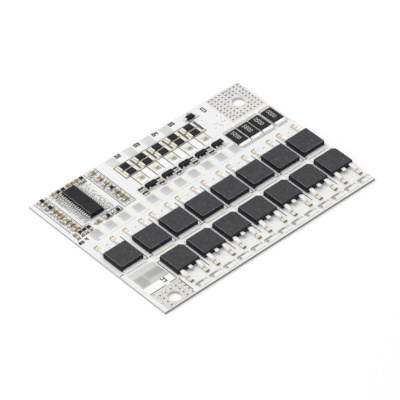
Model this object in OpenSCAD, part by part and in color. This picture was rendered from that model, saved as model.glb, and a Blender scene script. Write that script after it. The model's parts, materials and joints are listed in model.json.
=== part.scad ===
// Battery management board: a thin white circuit board with two rows of
// power transistors, a bank of sense resistors, a cell monitor chip and
// one balancing group for each cell.
// The origin is the middle of the board's underside. +X runs along the
// transistor rows, +Y from the output edge to the cell-tap edge, +Z up.

/* [Board] */
// Length of the board along the transistor rows
board_l = 63; // [63:0.5:70]
// Width of the board across the rows
board_w = 45; // [45:0.5:50]
// Thickness of the laminate with its mask
board_t = 0.6; // [0.4:0.1:1.6]
// Height of a tinned pad above the mask
pad_t = 0.06; // [0.04:0.01:0.1]
// Diameter of the two mounting holes
hole_d = 3.1; // [2.7:0.1:3.2]
// Front hole from the left and front edges
front_hole = [4.85, 2.3];
// Back hole from the left and front edges
back_hole = [58.25, 39.55];

/* [Power transistors] */
// Spacing of the transistor columns
column_pitch = 7.73; // [7.4:0.01:7.8]
// How far the middle of the rear row stands to the right of the board's middle
row_offset = 0.6; // [0:0.05:0.65]
// How much further out the first column stands, beside the cable corner
first_column_gap = 0.6; // [0:0.1:0.6]
// Columns in the rear row; the front row leaves the first one free
column_count = 8; // [2:1:8]
// Middle of the rear row's bodies from the front edge
rear_row_y = 18.5; // [18.3:0.1:18.7]
// Middle of the front row's bodies from the front edge
front_row_y = 9.6; // [9.4:0.1:9.8]
// How far the front row stands to the right of the rear one
front_row_shift = 0.1; // [-0.3:0.05:0.3]
// Moulded body: across the leads, along the leads, height
power_body = [6.5, 6.2, 1.5];
// Corner cut off each front-row body beside its tab
corner_chamfer = 0.8; // [0.5:0.1:1]
// Thickness of the stamped lead frame
frame_t = 0.3; // [0.24:0.02:0.36]
// Top of a lead where it leaves the body
lead_top = 0.95; // [0.95:0.05:1.1]
// Width of one lead
lead_w = 0.9; // [0.6:0.05:1]
// Spacing from the middle of the body to an outer lead
lead_pitch = 2.29; // [2.1:0.01:2.4]
// How far a formed lead reaches past the body
lead_reach = 1.9; // [1.8:0.05:2]
// How far the cropped middle lead reaches past the body
stub_reach = 0.85; // [0.4:0.05:1]
// Width of the solder tab and how far it reaches past the body
tab = [5.5, 1.05];

/* [Sense resistors] */
// Middles of the sense resistors from the left edge
sense_x = [49.55, 53.1, 56.6, 60.5];
// Middle of the bank from the front edge
sense_y = 30.65; // [30.6:0.05:30.9]
// One resistor: width, length, height
sense_size = [3.05, 6.4, 0.5];
// Length of each soldered end
sense_end = 0.95; // [0.7:0.05:1.2]

/* [Monitor chip] */
// Middle of the chip from the left and front edges
chip_at = [9.4, 37.75];
// Moulded body: width, length, height
chip_body = [3.8, 10.3, 1.1];
// Pins on each long side
pins_per_side = 16; // [8:1:16]
// Spacing of the pins
pin_pitch = 0.635; // [0.5:0.005:0.64]
// Width over both rows of pins
pin_span = 6.2; // [5.8:0.05:6.4]
// Top of a pin where it leaves the body
pin_top = 0.72; // [0.6:0.02:0.8]

/* [Balancing groups] */
// Number of cells with a balancing group
cell_count = 5; // [3:1:5]
// Spacing of the groups
cell_pitch = 4.83; // [4.7:0.01:4.9]
// Middle of the first group from the left edge
first_cell_x = 24.15; // [24:0.05:24.4]
// Heights of the two rows of resistors from the front edge
balance_rows = [38.35, 40.5];
// Balancing resistor: length, width, height
balance_size = [3.2, 1.6, 0.42];
// Transistor body: length, width, height
switch_body = [2.9, 1.3, 0.75];
// Middle of the switching transistors from the front edge
switch_y = 31.95; // [31.85:0.05:32.1]

/* [Small chips] */
// Gate resistor: length, width, height
gate_size = [1.55, 1, 0.38];
// Small capacitor or resistor: length, width, height
small_size = [1.6, 0.8, 0.42];
// Smallest chip: length, width, height
tiny_size = [1.2, 0.65, 0.35];

/* [Tinned windows] */
// Spacing of the windows in the bus behind the rear row
bus_pitch = 4.13; // [4.05:0.01:4.13]
// Number of windows in that bus
bus_count = 10; // [4:1:10]
// Spacing of the windows along the front edge
edge_pitch = 4.07; // [4:0.01:4.08]
// Number of windows along the front edge
edge_count = 13; // [4:1:13]
// Diameter of a plated through-hole
via_d = 0.42; // [0.3:0.02:0.5]

/* [Hidden] */

hole_fn = 64;
bend_fn = 32;
end_wrap = 0.03;      // metal round a chip's ceramic
tab_inset = 4.3;      // length of the solder tab under its body
tab_play = 0.01;      // mould-to-metal line round the buried tab
lead_bend = 0.1;      // inner radius of a power lead's bends
lead_foot = 0.5;      // flat length of a power lead's foot
chip_gap = 0.1;       // air under the monitor chip
switch_gap = 0.05;    // air under the small transistors
switch_top = 0.5;     // top of a small transistor's lead at its body
window_w = 2.5;       // tinned part of one bus window
bar_w = 0.45;         // bare copper bar beside it
bus_y = [26.4, 29.6]; // the bus, from the front edge
edge_y = [0.5, 2.1]; // the edge windows, from the front edge
edge_w = 3.5;
first_bar_x = 6.4;
first_edge_x = 10.4;
via_clear = 2.2;      // no via nearer than this to a mounting hole
gate_gap = 2.75;      // body edge to the middle of a gate resistor
zener_at = [46.2, 42.9];
zener_body_size = [1.95, 1.25, 0.72];

// Small parts, each as [x, y, turn] from the left and front edges
left_bank_x = 3;
right_bank_x = 17.4;
front_bank_y = 30.85;
back_bank_y = 43.9;
capacitors = concat(
    [for (y = [32.5, 34.1, 35.5, 37.5, 38.5, 39.9, 43.2]) [left_bank_x, y, 0]],
    [for (y = [32.4, 34.05, 35.45, 39.1, 41, 43.6]) [right_bank_x, y, 0]],
    [for (x = [6.5, 10.75, 12, 13.25]) [x, back_bank_y, 90]],
    [[1.4, front_bank_y - 0.15, 90], [8, front_bank_y, 0]]
);
resistors = concat(
    [for (y = [41.4, 44.3]) [left_bank_x, y, 0]],
    [for (x = [7.75, 9.1, 14.5]) [x, back_bank_y, 90]],
    [for (x = [2.85, 4.05, 5.3]) [x, front_bank_y, 90]],
    [[10.8, front_bank_y, 0], [13.65, front_bank_y, 0], [right_bank_x, 37.3, 0]]
);
tiny_rows = [30.75, 32.3];
tiny_columns = [-3.05, -2.25]; // from the middle of a switching transistor

function row_x(k) = board_l / 2 + row_offset + column_pitch * (k - (column_count - 1) / 2)
    - (k == 0 ? first_column_gap : 0);
function front_x(k) = row_x(k) + front_row_shift;
function cell_x(j) = first_cell_x + cell_pitch * j;
function switch_x(j) = cell_x(j) + 0.42 + 0.19 * j;

rear_gates = [for (k = [0:column_count - 1], s = [-1, 1])
    [row_x(k) + s * lead_pitch, rear_row_y + power_body.y / 2 + gate_gap, 90]];
front_gates = [for (k = [1:column_count - 1], s = [-1, 1])
    [front_x(k) + s * lead_pitch, front_row_y - power_body.y / 2 - gate_gap, 90]];
gates = concat(rear_gates, front_gates);
balance_resistors = [for (j = [0:cell_count - 1], y = balance_rows) [cell_x(j), y, 0]];
tiny_chips = [for (j = [0:cell_count - 1], x = tiny_columns, y = tiny_rows)
    [switch_x(j) + x, y, 90]];

// Places children from the board's front left corner, h above its top face
module on_board(h = 0) {
    translate([-board_l / 2, -board_w / 2, board_t + h]) children();
}

// Repeats children at each [x, y, turn] of a list
module each_place(places) {
    for (p = places) translate([p.x, p.y, 0]) rotate(p.z) children();
}

// Flat block between two corners, standing on the current plane
module slab(lo, hi, h) {
    translate([lo.x, lo.y, 0]) cube([hi.x - lo.x, hi.y - lo.y, h]);
}

// Block of a given size, centred in plan and standing on the plane
module block(size) {
    translate([-size.x / 2, -size.y / 2, 0]) cube(size);
}

// Slab with round corners, as a solder-mask opening has
module round_slab(lo, hi, h, r) {
    linear_extrude(h) union() {
        translate([lo.x + r, lo.y]) square([hi.x - lo.x - 2 * r, hi.y - lo.y]);
        translate([lo.x, lo.y + r]) square([hi.x - lo.x, hi.y - lo.y - 2 * r]);
        for (x = [lo.x + r, hi.x - r], y = [lo.y + r, hi.y - r])
            translate([x, y]) circle(r, $fn = bend_fn);
    }
}

// Side view of a moulded body: widest at the parting line half way up,
// with draft on both halves so that the tool can open
module draft_profile(w, h, draft) {
    polygon([
        [-w / 2 + draft / 2, 0], [w / 2 - draft / 2, 0], [w / 2, h / 2],
        [w / 2 - draft, h], [-w / 2 + draft, h], [-w / 2, h / 2]
    ]);
}

// Moulded body: the two drafted side views crossed
module moulded_body(size, draft) {
    intersection() {
        rotate([90, 0, 0])
            linear_extrude(size.y, center = true) draft_profile(size.x, size.z, draft);
        rotate([90, 0, 90])
            linear_extrude(size.x, center = true) draft_profile(size.y, size.z, draft);
    }
}

// Quarter ring of sheet about the origin, in the quadrant that sx, sy give
module bend(ri, ro, sx, sy) {
    intersection() {
        difference() {
            circle(ro, $fn = bend_fn);
            circle(ri, $fn = bend_fn);
        }
        translate([sx > 0 ? 0 : -ro, sy > 0 ? 0 : -ro]) square(ro);
    }
}

// Side view of a gull-wing lead that leaves the body at x = 0, steps down
// and ends in a foot on the plane: shoulder, bend, leg, bend, foot
module gull_profile(reach, top, t, ri, foot) {
    ro = ri + t;
    leg_x = reach - foot - ri;
    union() {
        translate([0, top - t]) square([leg_x - ro, t]);
        translate([leg_x - ro, top - ro]) bend(ri, ro, 1, 1);
        translate([leg_x - t, ro]) square([t, top - 2 * ro]);
        translate([leg_x + ri, ro]) bend(ri, ro, -1, -1);
        translate([leg_x + ri, 0]) square([foot, t]);
    }
}

// Gull-wing lead of width w that reaches along +Y
module gull_lead(w, reach, top, t, ri, foot) {
    rotate([90, 0, 90])
        linear_extrude(w, center = true)
            gull_profile(reach, top, t, ri, foot);
}

// Ceramic of a chip part, inside its two wrapped ends
module chip_ceramic(size) {
    translate([0, 0, end_wrap]) block([for (s = size) s - 2 * end_wrap]);
}

// The two metal ends of a chip part, each wrapped round the ceramic
module chip_ends(size, end_l) {
    difference() {
        for (s = [-1, 1])
            translate([s * (size.x - end_l) / 2, 0, 0]) block([end_l, size.y, size.z]);
        chip_ceramic(size);
    }
}

// The two pads under a chip part; they show past its ends as a solder toe
module chip_pads(size, end_l) {
    for (s = [-1, 1])
        translate([s * (size.x - end_l / 2) / 2, 0, 0])
            block([1.5 * end_l, size.y + 0.1, pad_t]);
}

// Grid of via holes between two corners, clear of the mounting hole at c
module via_holes(lo, hi, c, cols, rows) {
    step = [(hi.x - lo.x) / (cols - 1), (hi.y - lo.y) / (rows - 1)];
    for (i = [0:cols - 1], j = [0:rows - 1]) {
        p = [lo.x + i * step.x, lo.y + j * step.y];
        if (norm(p - c) > via_clear)
            translate([p.x, p.y, -1]) cylinder(h = 2, d = via_d, $fn = 16);
    }
}

// Corner pad that its children cut, tinned right up to the mounting hole
module corner_pad(lo, hi, c) {
    difference() {
        slab(lo, hi, pad_t);
        translate([c.x, c.y, -1]) cylinder(h = 2, d = hole_d, $fn = hole_fn);
        children();
    }
}

module board() {
    color("white")
        difference() {
            translate([-board_l / 2, -board_w / 2, 0]) cube([board_l, board_w, board_t]);
            on_board(-board_t - 1)
                for (c = [front_hole, back_hole])
                    translate([c.x, c.y, 0]) cylinder(h = board_t + 2, d = hole_d, $fn = hole_fn);
        }
}

module front_corner_pad() {
    color("lightgray") on_board()
        corner_pad([1.1, 0.3], [9, 5.8], front_hole)
            via_holes([2.6, 0.8], [8.7, 4.5], front_hole, 5, 4);
}

module back_corner_pad() {
    color("lightgray") on_board()
        corner_pad([52.6, 35.3], [62.6, 44.7], back_hole)
            via_holes([53.15, 35.85], [62.05, 44.15], back_hole, 9, 9);
}

module output_pad() {
    color("silver") on_board()
        slab([1.3, 8.4], [8.5, 13.6], pad_t);
}

module tap_pads() {
    color("lightgray") on_board()
        for (i = [0:3]) slab([21.95 + 5.4 * i, 42.1], [24.35 + 5.4 * i, 44.75], pad_t);
}

module bus_windows() {
    color("lightsteelblue") on_board() {
        for (i = [0:bus_count - 1]) {
            x = first_bar_x + bus_pitch * i;
            round_slab([x - window_w, bus_y.x], [x, bus_y.y], pad_t, 0.3);
        }
        round_slab([44.6, bus_y.x + 0.3], [47.8, bus_y.y], pad_t, 0.3);
    }
}

module bus_copper_bars() {
    color("khaki") on_board()
        for (i = [0:bus_count - 1]) {
            x = first_bar_x + bus_pitch * i;
            slab([x, bus_y.x], [x + bar_w, bus_y.y], pad_t);
        }
}

module edge_windows() {
    color("lightgray") on_board()
        for (i = [0:edge_count - 1]) {
            x = first_edge_x + edge_pitch * i;
            round_slab([x, edge_y.x], [x + edge_w, edge_y.y], 2 * pad_t, 0.35);
        }
}

module power_pads() {
    color("lightgray") on_board() {
        for (k = [0:column_count - 1]) {
            x = row_x(k);
            front = k == 0 ? 14 : front_row_y - 1.2;
            slab([x - 2.9, front], [x + 2.9, rear_row_y + 1.2], pad_t);
            for (s = [-1, 1])
                lead_pad(x + s * lead_pitch, rear_row_y, 1);
        }
        for (k = [1:column_count - 1], s = [-1, 1])
            lead_pad(front_x(k) + s * lead_pitch, front_row_y, -1);
        each_place(gates) chip_pads(gate_size, 0.35);
    }
}

// Pad under the foot of a formed lead, on the side of the row that dir gives
module lead_pad(x, row_y, dir) {
    near = row_y + dir * (power_body.y / 2 + 0.7);
    far = row_y + dir * (power_body.y / 2 + lead_reach);
    slab([x - 0.5, min(near, far)], [x + 0.5, max(near, far)], pad_t);
}

module sense_pads() {
    color("wheat") on_board() {
        slab([48.2, sense_y + 2.3], [62.2, sense_y + 3.55], pad_t);
        for (x = sense_x) slab([x - 1.5, sense_y - 3.45], [x + 1.5, sense_y - 2.2], pad_t);
    }
}

module signal_pads() {
    color("lightgray") on_board() {
        each_place(concat(capacitors, resistors)) chip_pads(small_size, 0.35);
        translate([chip_at.x, chip_at.y, 0])
            for (s = [-1, 1], i = [0:pins_per_side - 1])
                translate([s * (pin_span / 2 - 0.1), (i - (pins_per_side - 1) / 2) * pin_pitch, 0])
                    block([1.3, 0.36, pad_t]);
    }
}

module balance_pads() {
    color("wheat") on_board() {
        each_place(balance_resistors)
            for (s = [-1, 1]) translate([s * 1.55, 0, 0]) block([0.95, 1.7, pad_t]);
        for (j = [0:cell_count - 1]) {
            slab([cell_x(j) - 0.9, 33.7], [cell_x(j) + 1.6, 37.1], pad_t);
            translate([switch_x(j), switch_y, 0])
                for (s = [-1, 1]) translate([s * 0.95, -1.15, 0]) block([0.6, 0.8, pad_t]);
        }
        each_place(tiny_chips) chip_pads(tiny_size, 0.25);
        translate([zener_at.x, zener_at.y, 0])
            for (s = [-1, 1]) translate([s * 1.5, 0, 0]) block([0.9, 1.2, pad_t]);
    }
}

// Stamped frame of a power transistor: the solder tab toward -Y, two
// formed leads and the cropped middle one toward +Y
module power_frame() {
    translate([-tab.x / 2, -power_body.y / 2 - tab.y, 0])
        cube([tab.x, tab.y + tab_inset, frame_t]);
    translate([0, power_body.y / 2, 0]) {
        for (s = [-1, 1])
            translate([s * lead_pitch, 0, 0])
                gull_lead(lead_w, lead_reach, lead_top, frame_t, lead_bend, lead_foot);
        translate([-lead_w / 2, 0, lead_top - frame_t]) cube([lead_w, stub_reach, frame_t]);
    }
}

// Moulded body of a power transistor over its buried tab; a keyed one has
// one corner beside the tab cut off
module power_moulding(keyed) {
    w = tab.x / 2 + tab_play;
    difference() {
        moulded_body(power_body, 0.14);
        translate([-w, -power_body.y / 2 - 1, -1])
            cube([2 * w, 1 + tab_inset + tab_play, 1 + frame_t]);
        if (keyed)
            translate([-power_body.x / 2, -power_body.y / 2, -1]) rotate(45)
                block([sqrt(2) * corner_chamfer, 2 * corner_chamfer, power_body.z + 2]);
    }
}

// Column i of the rear row, tab toward the front edge
module rear_place(i) {
    on_board(pad_t) translate([row_x(i - 1), rear_row_y, 0]) children();
}

// Column i + 1 of the front row, tab toward the rear row
module front_place(i) {
    on_board(pad_t) translate([front_x(i), front_row_y, 0]) rotate(180) children();
}

module rear_transistor_body(i) {
    color("dimgray") rear_place(i) power_moulding(false);
}

module rear_transistor_frame(i) {
    color("silver") rear_place(i) power_frame();
}

module front_transistor_body(i) {
    color("dimgray") front_place(i) power_moulding(true);
}

module front_transistor_frame(i) {
    color("silver") front_place(i) power_frame();
}

module sense_resistor_body(i) {
    mid = sense_size.y - 2 * sense_end;
    color("black") on_board(pad_t)
        translate([sense_x[i - 1], sense_y, 0.08])
            block([sense_size.x - 0.1, mid, sense_size.z - 0.08]);
}

// Each end is a folded strip: it stands a little lower than the coating
module sense_resistor_ends() {
    mid = sense_size.y - 2 * sense_end;
    color("silver") on_board(pad_t)
        for (x = sense_x, s = [-1, 1])
            translate([x, sense_y + s * (mid + sense_end) / 2, 0])
                block([sense_size.x, sense_end, sense_size.z - 0.06]);
}

module chip_place() {
    on_board(pad_t) translate([chip_at.x, chip_at.y, 0]) children();
}

module monitor_chip_body() {
    color("dimgray") chip_place() translate([0, 0, chip_gap])
        difference() {
            moulded_body(chip_body, 0.2);
            translate([-chip_body.x / 2 + 0.75, chip_body.y / 2 - 0.85, chip_body.z - 0.08])
                cylinder(h = 1, d = 0.7, $fn = 24);
        }
}

module monitor_chip_pins() {
    reach = (pin_span - chip_body.x) / 2;
    color("silver") chip_place()
        for (s = [-1, 1], i = [0:pins_per_side - 1])
            rotate(s > 0 ? -90 : 90)
                translate([(i - (pins_per_side - 1) / 2) * pin_pitch, chip_body.x / 2, 0])
                    gull_lead(0.26, reach, pin_top, 0.14, 0.09, 0.45);
}

module balance_resistor_bodies() {
    color("black") on_board(pad_t) each_place(balance_resistors) chip_ceramic(balance_size);
}

module balance_resistor_ends() {
    color("wheat") on_board(pad_t) each_place(balance_resistors) chip_ends(balance_size, 0.5);
}

module switch_transistor_bodies() {
    color("dimgray") on_board(pad_t)
        for (j = [0:cell_count - 1])
            translate([switch_x(j), switch_y, switch_gap]) moulded_body(switch_body, 0.1);
}

// One lead behind the body and two in front of it
module switch_transistor_leads() {
    color("silver") on_board(pad_t)
        for (j = [0:cell_count - 1])
            translate([switch_x(j), switch_y, 0])
                for (p = [[0, 0], [-0.95, 180], [0.95, 180]])
                    translate([p.x, 0, 0]) rotate(p.y) translate([0, switch_body.y / 2, 0])
                        gull_lead(0.42, 0.75, switch_top, 0.13, 0.07, 0.3);
}

module zener_body() {
    color("dimgray") on_board(pad_t)
        translate([zener_at.x, zener_at.y, switch_gap]) moulded_body(zener_body_size, 0.1);
}

module zener_leads() {
    color("silver") on_board(pad_t)
        translate([zener_at.x, zener_at.y, 0])
            for (turn = [90, -90])
                rotate(turn) translate([0, zener_body_size.x / 2, 0])
                    gull_lead(0.6, 0.8, switch_top, 0.13, 0.07, 0.3);
}

module gate_resistor_bodies() {
    color("burlywood") on_board(pad_t) each_place(gates) chip_ceramic(gate_size);
}

module gate_resistor_ends() {
    color("silver") on_board(pad_t) each_place(gates) chip_ends(gate_size, 0.35);
}

module capacitor_bodies() {
    color("peru") on_board(pad_t) each_place(capacitors) chip_ceramic(small_size);
}

module resistor_bodies() {
    color("black") on_board(pad_t) {
        each_place(resistors) chip_ceramic(small_size);
        each_place(tiny_chips) chip_ceramic(tiny_size);
    }
}

module small_chip_ends() {
    color("silver") on_board(pad_t) {
        each_place(concat(capacitors, resistors)) chip_ends(small_size, 0.35);
        each_place(tiny_chips) chip_ends(tiny_size, 0.25);
    }
}

board();
front_corner_pad();
back_corner_pad();
output_pad();
tap_pads();
bus_windows();
bus_copper_bars();
edge_windows();
power_pads();
sense_pads();
signal_pads();
balance_pads();
for (i = [1:column_count]) {
    rear_transistor_body(i);
    rear_transistor_frame(i);
}
for (i = [1:column_count - 1]) {
    front_transistor_body(i);
    front_transistor_frame(i);
}
for (i = [1:len(sense_x)])
    sense_resistor_body(i);
sense_resistor_ends();
monitor_chip_body();
monitor_chip_pins();
balance_resistor_bodies();
balance_resistor_ends();
switch_transistor_bodies();
switch_transistor_leads();
zener_body();
zener_leads();
gate_resistor_bodies();
gate_resistor_ends();
capacitor_bodies();
resistor_bodies();
small_chip_ends();
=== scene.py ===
"""Looks of a battery management board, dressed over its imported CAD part.

The solids come from the frame and keep their places. This file gives them
finishes and adds the finer surfaces that the solids leave out: rounded
mouldings, formed leads, wrapped chip ends, solder crowns and silkscreen.
Sizes are millimetres, and a mesh is written in metres. Only the studio, at the
end, is laid out in metres.
"""

import json
import logging
import math
from dataclasses import dataclass
from enum import Enum
from typing import Iterable, Sequence

import bpy
import numpy as np
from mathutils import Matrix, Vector


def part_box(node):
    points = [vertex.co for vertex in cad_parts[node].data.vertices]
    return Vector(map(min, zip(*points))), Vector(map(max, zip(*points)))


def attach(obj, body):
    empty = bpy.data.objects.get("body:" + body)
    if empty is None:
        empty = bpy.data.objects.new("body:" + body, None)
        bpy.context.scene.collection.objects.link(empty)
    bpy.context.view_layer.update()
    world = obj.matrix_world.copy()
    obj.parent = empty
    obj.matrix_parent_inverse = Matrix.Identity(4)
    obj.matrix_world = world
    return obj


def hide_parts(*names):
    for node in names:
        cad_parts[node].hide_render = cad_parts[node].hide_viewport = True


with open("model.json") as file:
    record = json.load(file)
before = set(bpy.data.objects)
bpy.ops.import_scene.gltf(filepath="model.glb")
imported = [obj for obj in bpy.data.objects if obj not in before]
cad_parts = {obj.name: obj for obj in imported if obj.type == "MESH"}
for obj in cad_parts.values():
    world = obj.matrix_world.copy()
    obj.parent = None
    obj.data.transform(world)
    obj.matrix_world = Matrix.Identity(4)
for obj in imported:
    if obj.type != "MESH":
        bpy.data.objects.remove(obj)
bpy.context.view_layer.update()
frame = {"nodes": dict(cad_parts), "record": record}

logging.basicConfig(level=logging.INFO, format="%(name)s: %(message)s")
LOG = logging.getLogger("board")
MM = 0.001
BODY = "root"

Array = np.ndarray
Triple = tuple[float, float, float]
Colour = tuple[float, float, float]
Box = tuple[float, float, float, float]
Rows = list[list[float]]


# ---------------------------------------------------------------- surfaces


@dataclass(frozen=True)
class Shell:
    """A closed surface: points, four-sided faces and three-sided faces."""

    verts: Array
    quads: Array
    tris: Array

    def moved(self, offset: Sequence[float]) -> "Shell":
        """The same surface shifted by offset."""
        return Shell(self.verts + np.asarray(offset, float), self.quads, self.tris)

    def turned(self, degrees: float) -> "Shell":
        """The same surface turned about +Z.

        Args:
            degrees: the turn, anticlockwise from above.

        Returns:
            The turned surface.
        """
        a = math.radians(degrees)
        spin = np.array([[math.cos(a), math.sin(a), 0], [-math.sin(a), math.cos(a), 0], [0, 0, 1]])
        return Shell(self.verts @ spin, self.quads, self.tris)

    def tipped(self) -> "Shell":
        """The same surface with X, Y, Z read as Y, Z, X, so that a loft runs along X."""
        return Shell(self.verts[:, [2, 0, 1]], self.quads, self.tris)

    def repeated(self, places: Array) -> "Shell":
        """Copies at each row (x, y, z, turn in degrees), made in one array step.

        Args:
            places: one row for each copy.

        Returns:
            One shell that holds every copy.
        """
        p = np.asarray(places, float)
        a = np.radians(p[:, 3])
        c, s = np.cos(a), np.sin(a)
        spin = np.zeros((len(p), 3, 3))
        spin[:, 0, 0], spin[:, 0, 1] = c, s
        spin[:, 1, 0], spin[:, 1, 1] = -s, c
        spin[:, 2, 2] = 1
        verts = np.einsum("vj,kji->kvi", self.verts, spin) + p[:, None, :3]
        step = (np.arange(len(p)) * len(self.verts))[:, None, None]
        return Shell(
            verts.reshape(-1, 3),
            (self.quads[None] + step).reshape(-1, 4),
            (self.tris[None] + step).reshape(-1, 3),
        )


def joined(shells: Iterable[Shell]) -> Shell:
    """One shell that holds all of the given ones.

    Args:
        shells: the surfaces, in their order.

    Returns:
        The joined surface.
    """
    parts = list(shells)
    start = np.cumsum([0] + [len(s.verts) for s in parts])
    return Shell(
        np.concatenate([s.verts for s in parts]),
        np.concatenate([s.quads + n for s, n in zip(parts, start)]),
        np.concatenate([s.tris + n for s, n in zip(parts, start)]),
    )


def ring_faces(rings: int, around: int) -> tuple[Array, Array]:
    """Faces of a stack of closed rings, with a fan of triangles at each end.

    Ring r holds points r * around onward; the two fan middles come last.

    Args:
        rings: number of rings.
        around: points in each ring.

    Returns:
        The quads between rings and the triangles of both end fans.
    """
    grid = np.arange(rings * around).reshape(rings, around)
    nxt = np.roll(grid, -1, axis=1)
    quads = np.stack([grid[:-1], nxt[:-1], nxt[1:], grid[1:]], -1).reshape(-1, 4)
    low = np.full(around, rings * around)
    foot = np.stack([nxt[0], grid[0], low], -1)
    head = np.stack([grid[-1], nxt[-1], low + 1], -1)
    return quads, np.concatenate([foot, head])


@dataclass(frozen=True)
class Outline:
    """Closed convex line: its points, and for each one the outward normal, the
    way its corner moves when the sides move out by one, and the corner radius."""

    points: Array
    normals: Array
    corner_ways: Array
    radii: Array

    def inset(self, depth: Array, kept: float = 0.07) -> Array:
        """The line moved in by each depth. An arc shrinks as far as a small kept
        share of its radius; past that it moves in as a corner does.

        Args:
            depth: one distance for each ring.
            kept: share of a corner's radius that is never used up.

        Returns:
            Points of shape (rings, points, 2).
        """
        d = np.asarray(depth, float)[:, None]
        arc = np.minimum(d, (1 - kept) * self.radii[None])
        return self.points[None] - arc[..., None] * self.normals - (d - arc)[..., None] * self.corner_ways


def rounded_outline(corners: Array, radius: Array, steps: int) -> Outline:
    """Convex outline with an arc at each corner.

    An arc's middle is the corner moved in by r (a + b) / (1 + a . b), where a
    and b are the outward normals of its two sides; the arc turns from a to b.

    Args:
        corners: corner points, anticlockwise.
        radius: radius at each corner.
        steps: points along each arc.

    Returns:
        The outline.
    """
    pts = np.asarray(corners, float)
    r = np.broadcast_to(np.asarray(radius, float), len(pts))
    side = np.roll(pts, -1, axis=0) - pts
    side /= np.linalg.norm(side, axis=1, keepdims=True)
    b = np.stack([side[:, 1], -side[:, 0]], -1)
    a = np.roll(b, 1, axis=0)
    way = (a + b) / (1 + (a * b).sum(1))[:, None]
    middle = pts - r[:, None] * way
    start = np.arctan2(a[:, 1], a[:, 0])
    sweep = (np.arctan2(b[:, 1], b[:, 0]) - start) % (2 * math.pi)
    angle = start[:, None] + sweep[:, None] * np.linspace(0, 1, steps)[None]
    normal = np.stack([np.cos(angle), np.sin(angle)], -1)
    line = (middle[:, None] + r[:, None, None] * normal).reshape(-1, 2)
    ways, radii = np.repeat(way, steps, 0), np.repeat(r, steps)
    return Outline(line, normal.reshape(-1, 2), ways, radii)


def rectangle(width: float, length: float) -> Array:
    """The four corners of a centred rectangle, anticlockwise."""
    return np.array([[-1, -1], [1, -1], [1, 1], [-1, 1]]) * [width / 2, length / 2]


def capped(rings: Array) -> Shell:
    """Closed shell over a stack of rings, each end fanned to its ring's middle."""
    quads, tris = ring_faces(*rings.shape[:2])
    return Shell(np.concatenate([rings.reshape(-1, 3), rings[[0, -1]].mean(1)]), quads, tris)


def at_heights(flat: Array, heights: Array) -> Array:
    """Rings of (x, y) points given one height for each ring."""
    high = np.broadcast_to(heights[:, None, None], flat.shape[:2] + (1,))
    return np.concatenate([flat, high], -1)


def lofted(outline: Outline, profile: Array) -> Shell:
    """Stack of one outline: ring k lies at height profile[k, 1] and is moved in
    by profile[k, 0]; both ends are closed.

    Args:
        outline: the line at no inset.
        profile: rows of (inset, height), from the bottom up.

    Returns:
        The closed shell.
    """
    cut = np.asarray(profile, float)
    return capped(at_heights(outline.inset(cut[:, 0]), cut[:, 1]))


def rounded_edge(inset: float, height: float, radius: float, steps: int) -> Array:
    """Profile rows of a rounded top edge that ends at (inset + radius, height):
    a quarter circle from the side to the top."""
    a = np.linspace(0, math.pi / 2, steps)
    return np.stack([inset + radius * (1 - np.cos(a)), height - radius * (1 - np.sin(a))], -1)


def rounded_block(size: Sequence[float], edge: float, corner: float, steps: int = 3) -> Shell:
    """Block on the plane with rounded upright corners and rounded rims.

    Args:
        size: width, length and height.
        edge: radius of the lower and upper rims.
        corner: radius of the upright corners.
        steps: points along each arc.

    Returns:
        The block, standing on the plane.
    """
    outline = rounded_outline(rectangle(size[0], size[1]), corner, steps)
    top = rounded_edge(0, size[2], edge, steps)
    foot = np.stack([top[::-1, 0], size[2] - top[::-1, 1]], -1)
    return lofted(outline, np.concatenate([foot, top]))


def crowned_pad(size: Sequence[float], crown: float, corner: float, rings: int = 8) -> Shell:
    """Solder pad that swells to its middle line: each rim point moves by the
    share s toward the nearest point of the pad's middle line, and its height is
    rim + crown (1 - (1 - s)^2).

    Args:
        size: width, length and rim height.
        crown: rise above the rim at the middle.
        corner: radius of the pad's corners.
        rings: rings between the rim and the middle.

    Returns:
        The closed shell, standing on the plane.
    """
    line = rounded_outline(rectangle(size[0], size[1]), corner, 5).points
    half = np.array([size[0], size[1]]) / 2
    core = np.clip(line, -(half - half.min()), half - half.min())
    s = np.concatenate([[0.0, 0.0], np.linspace(0, 0.94, rings)[1:]])
    flat = line[None] + s[:, None, None] * (core - line)[None]
    rise = size[2] + crown * (1 - (1 - s) ** 2)
    rise[0] = 0
    return capped(at_heights(flat, rise))


def swept_strip(path: Array, width: float, thick: float, edge: float, steps: int = 3) -> Shell:
    """Metal strip carried along a path in the YZ plane: each ring is the strip's
    rounded section, its width along X and its thickness along the path's normal.

    Args:
        path: rows of (y, z) along the strip's middle line.
        width: strip width.
        thick: strip thickness.
        edge: radius of the section's corners.
        steps: points along each section corner.

    Returns:
        The closed shell.
    """
    way = np.gradient(path, axis=0)
    way /= np.linalg.norm(way, axis=1, keepdims=True)
    up = np.stack([-way[:, 1], way[:, 0]], -1)
    section = rounded_outline(rectangle(width, thick), edge, steps).points
    yz = path[:, None] + section[None, :, 1, None] * up[:, None]
    x = np.broadcast_to(section[None, :, 0, None], yz.shape[:2] + (1,))
    shell = capped(np.concatenate([x, yz], -1))
    return Shell(shell.verts, shell.quads[:, ::-1], shell.tris[:, ::-1])


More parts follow.
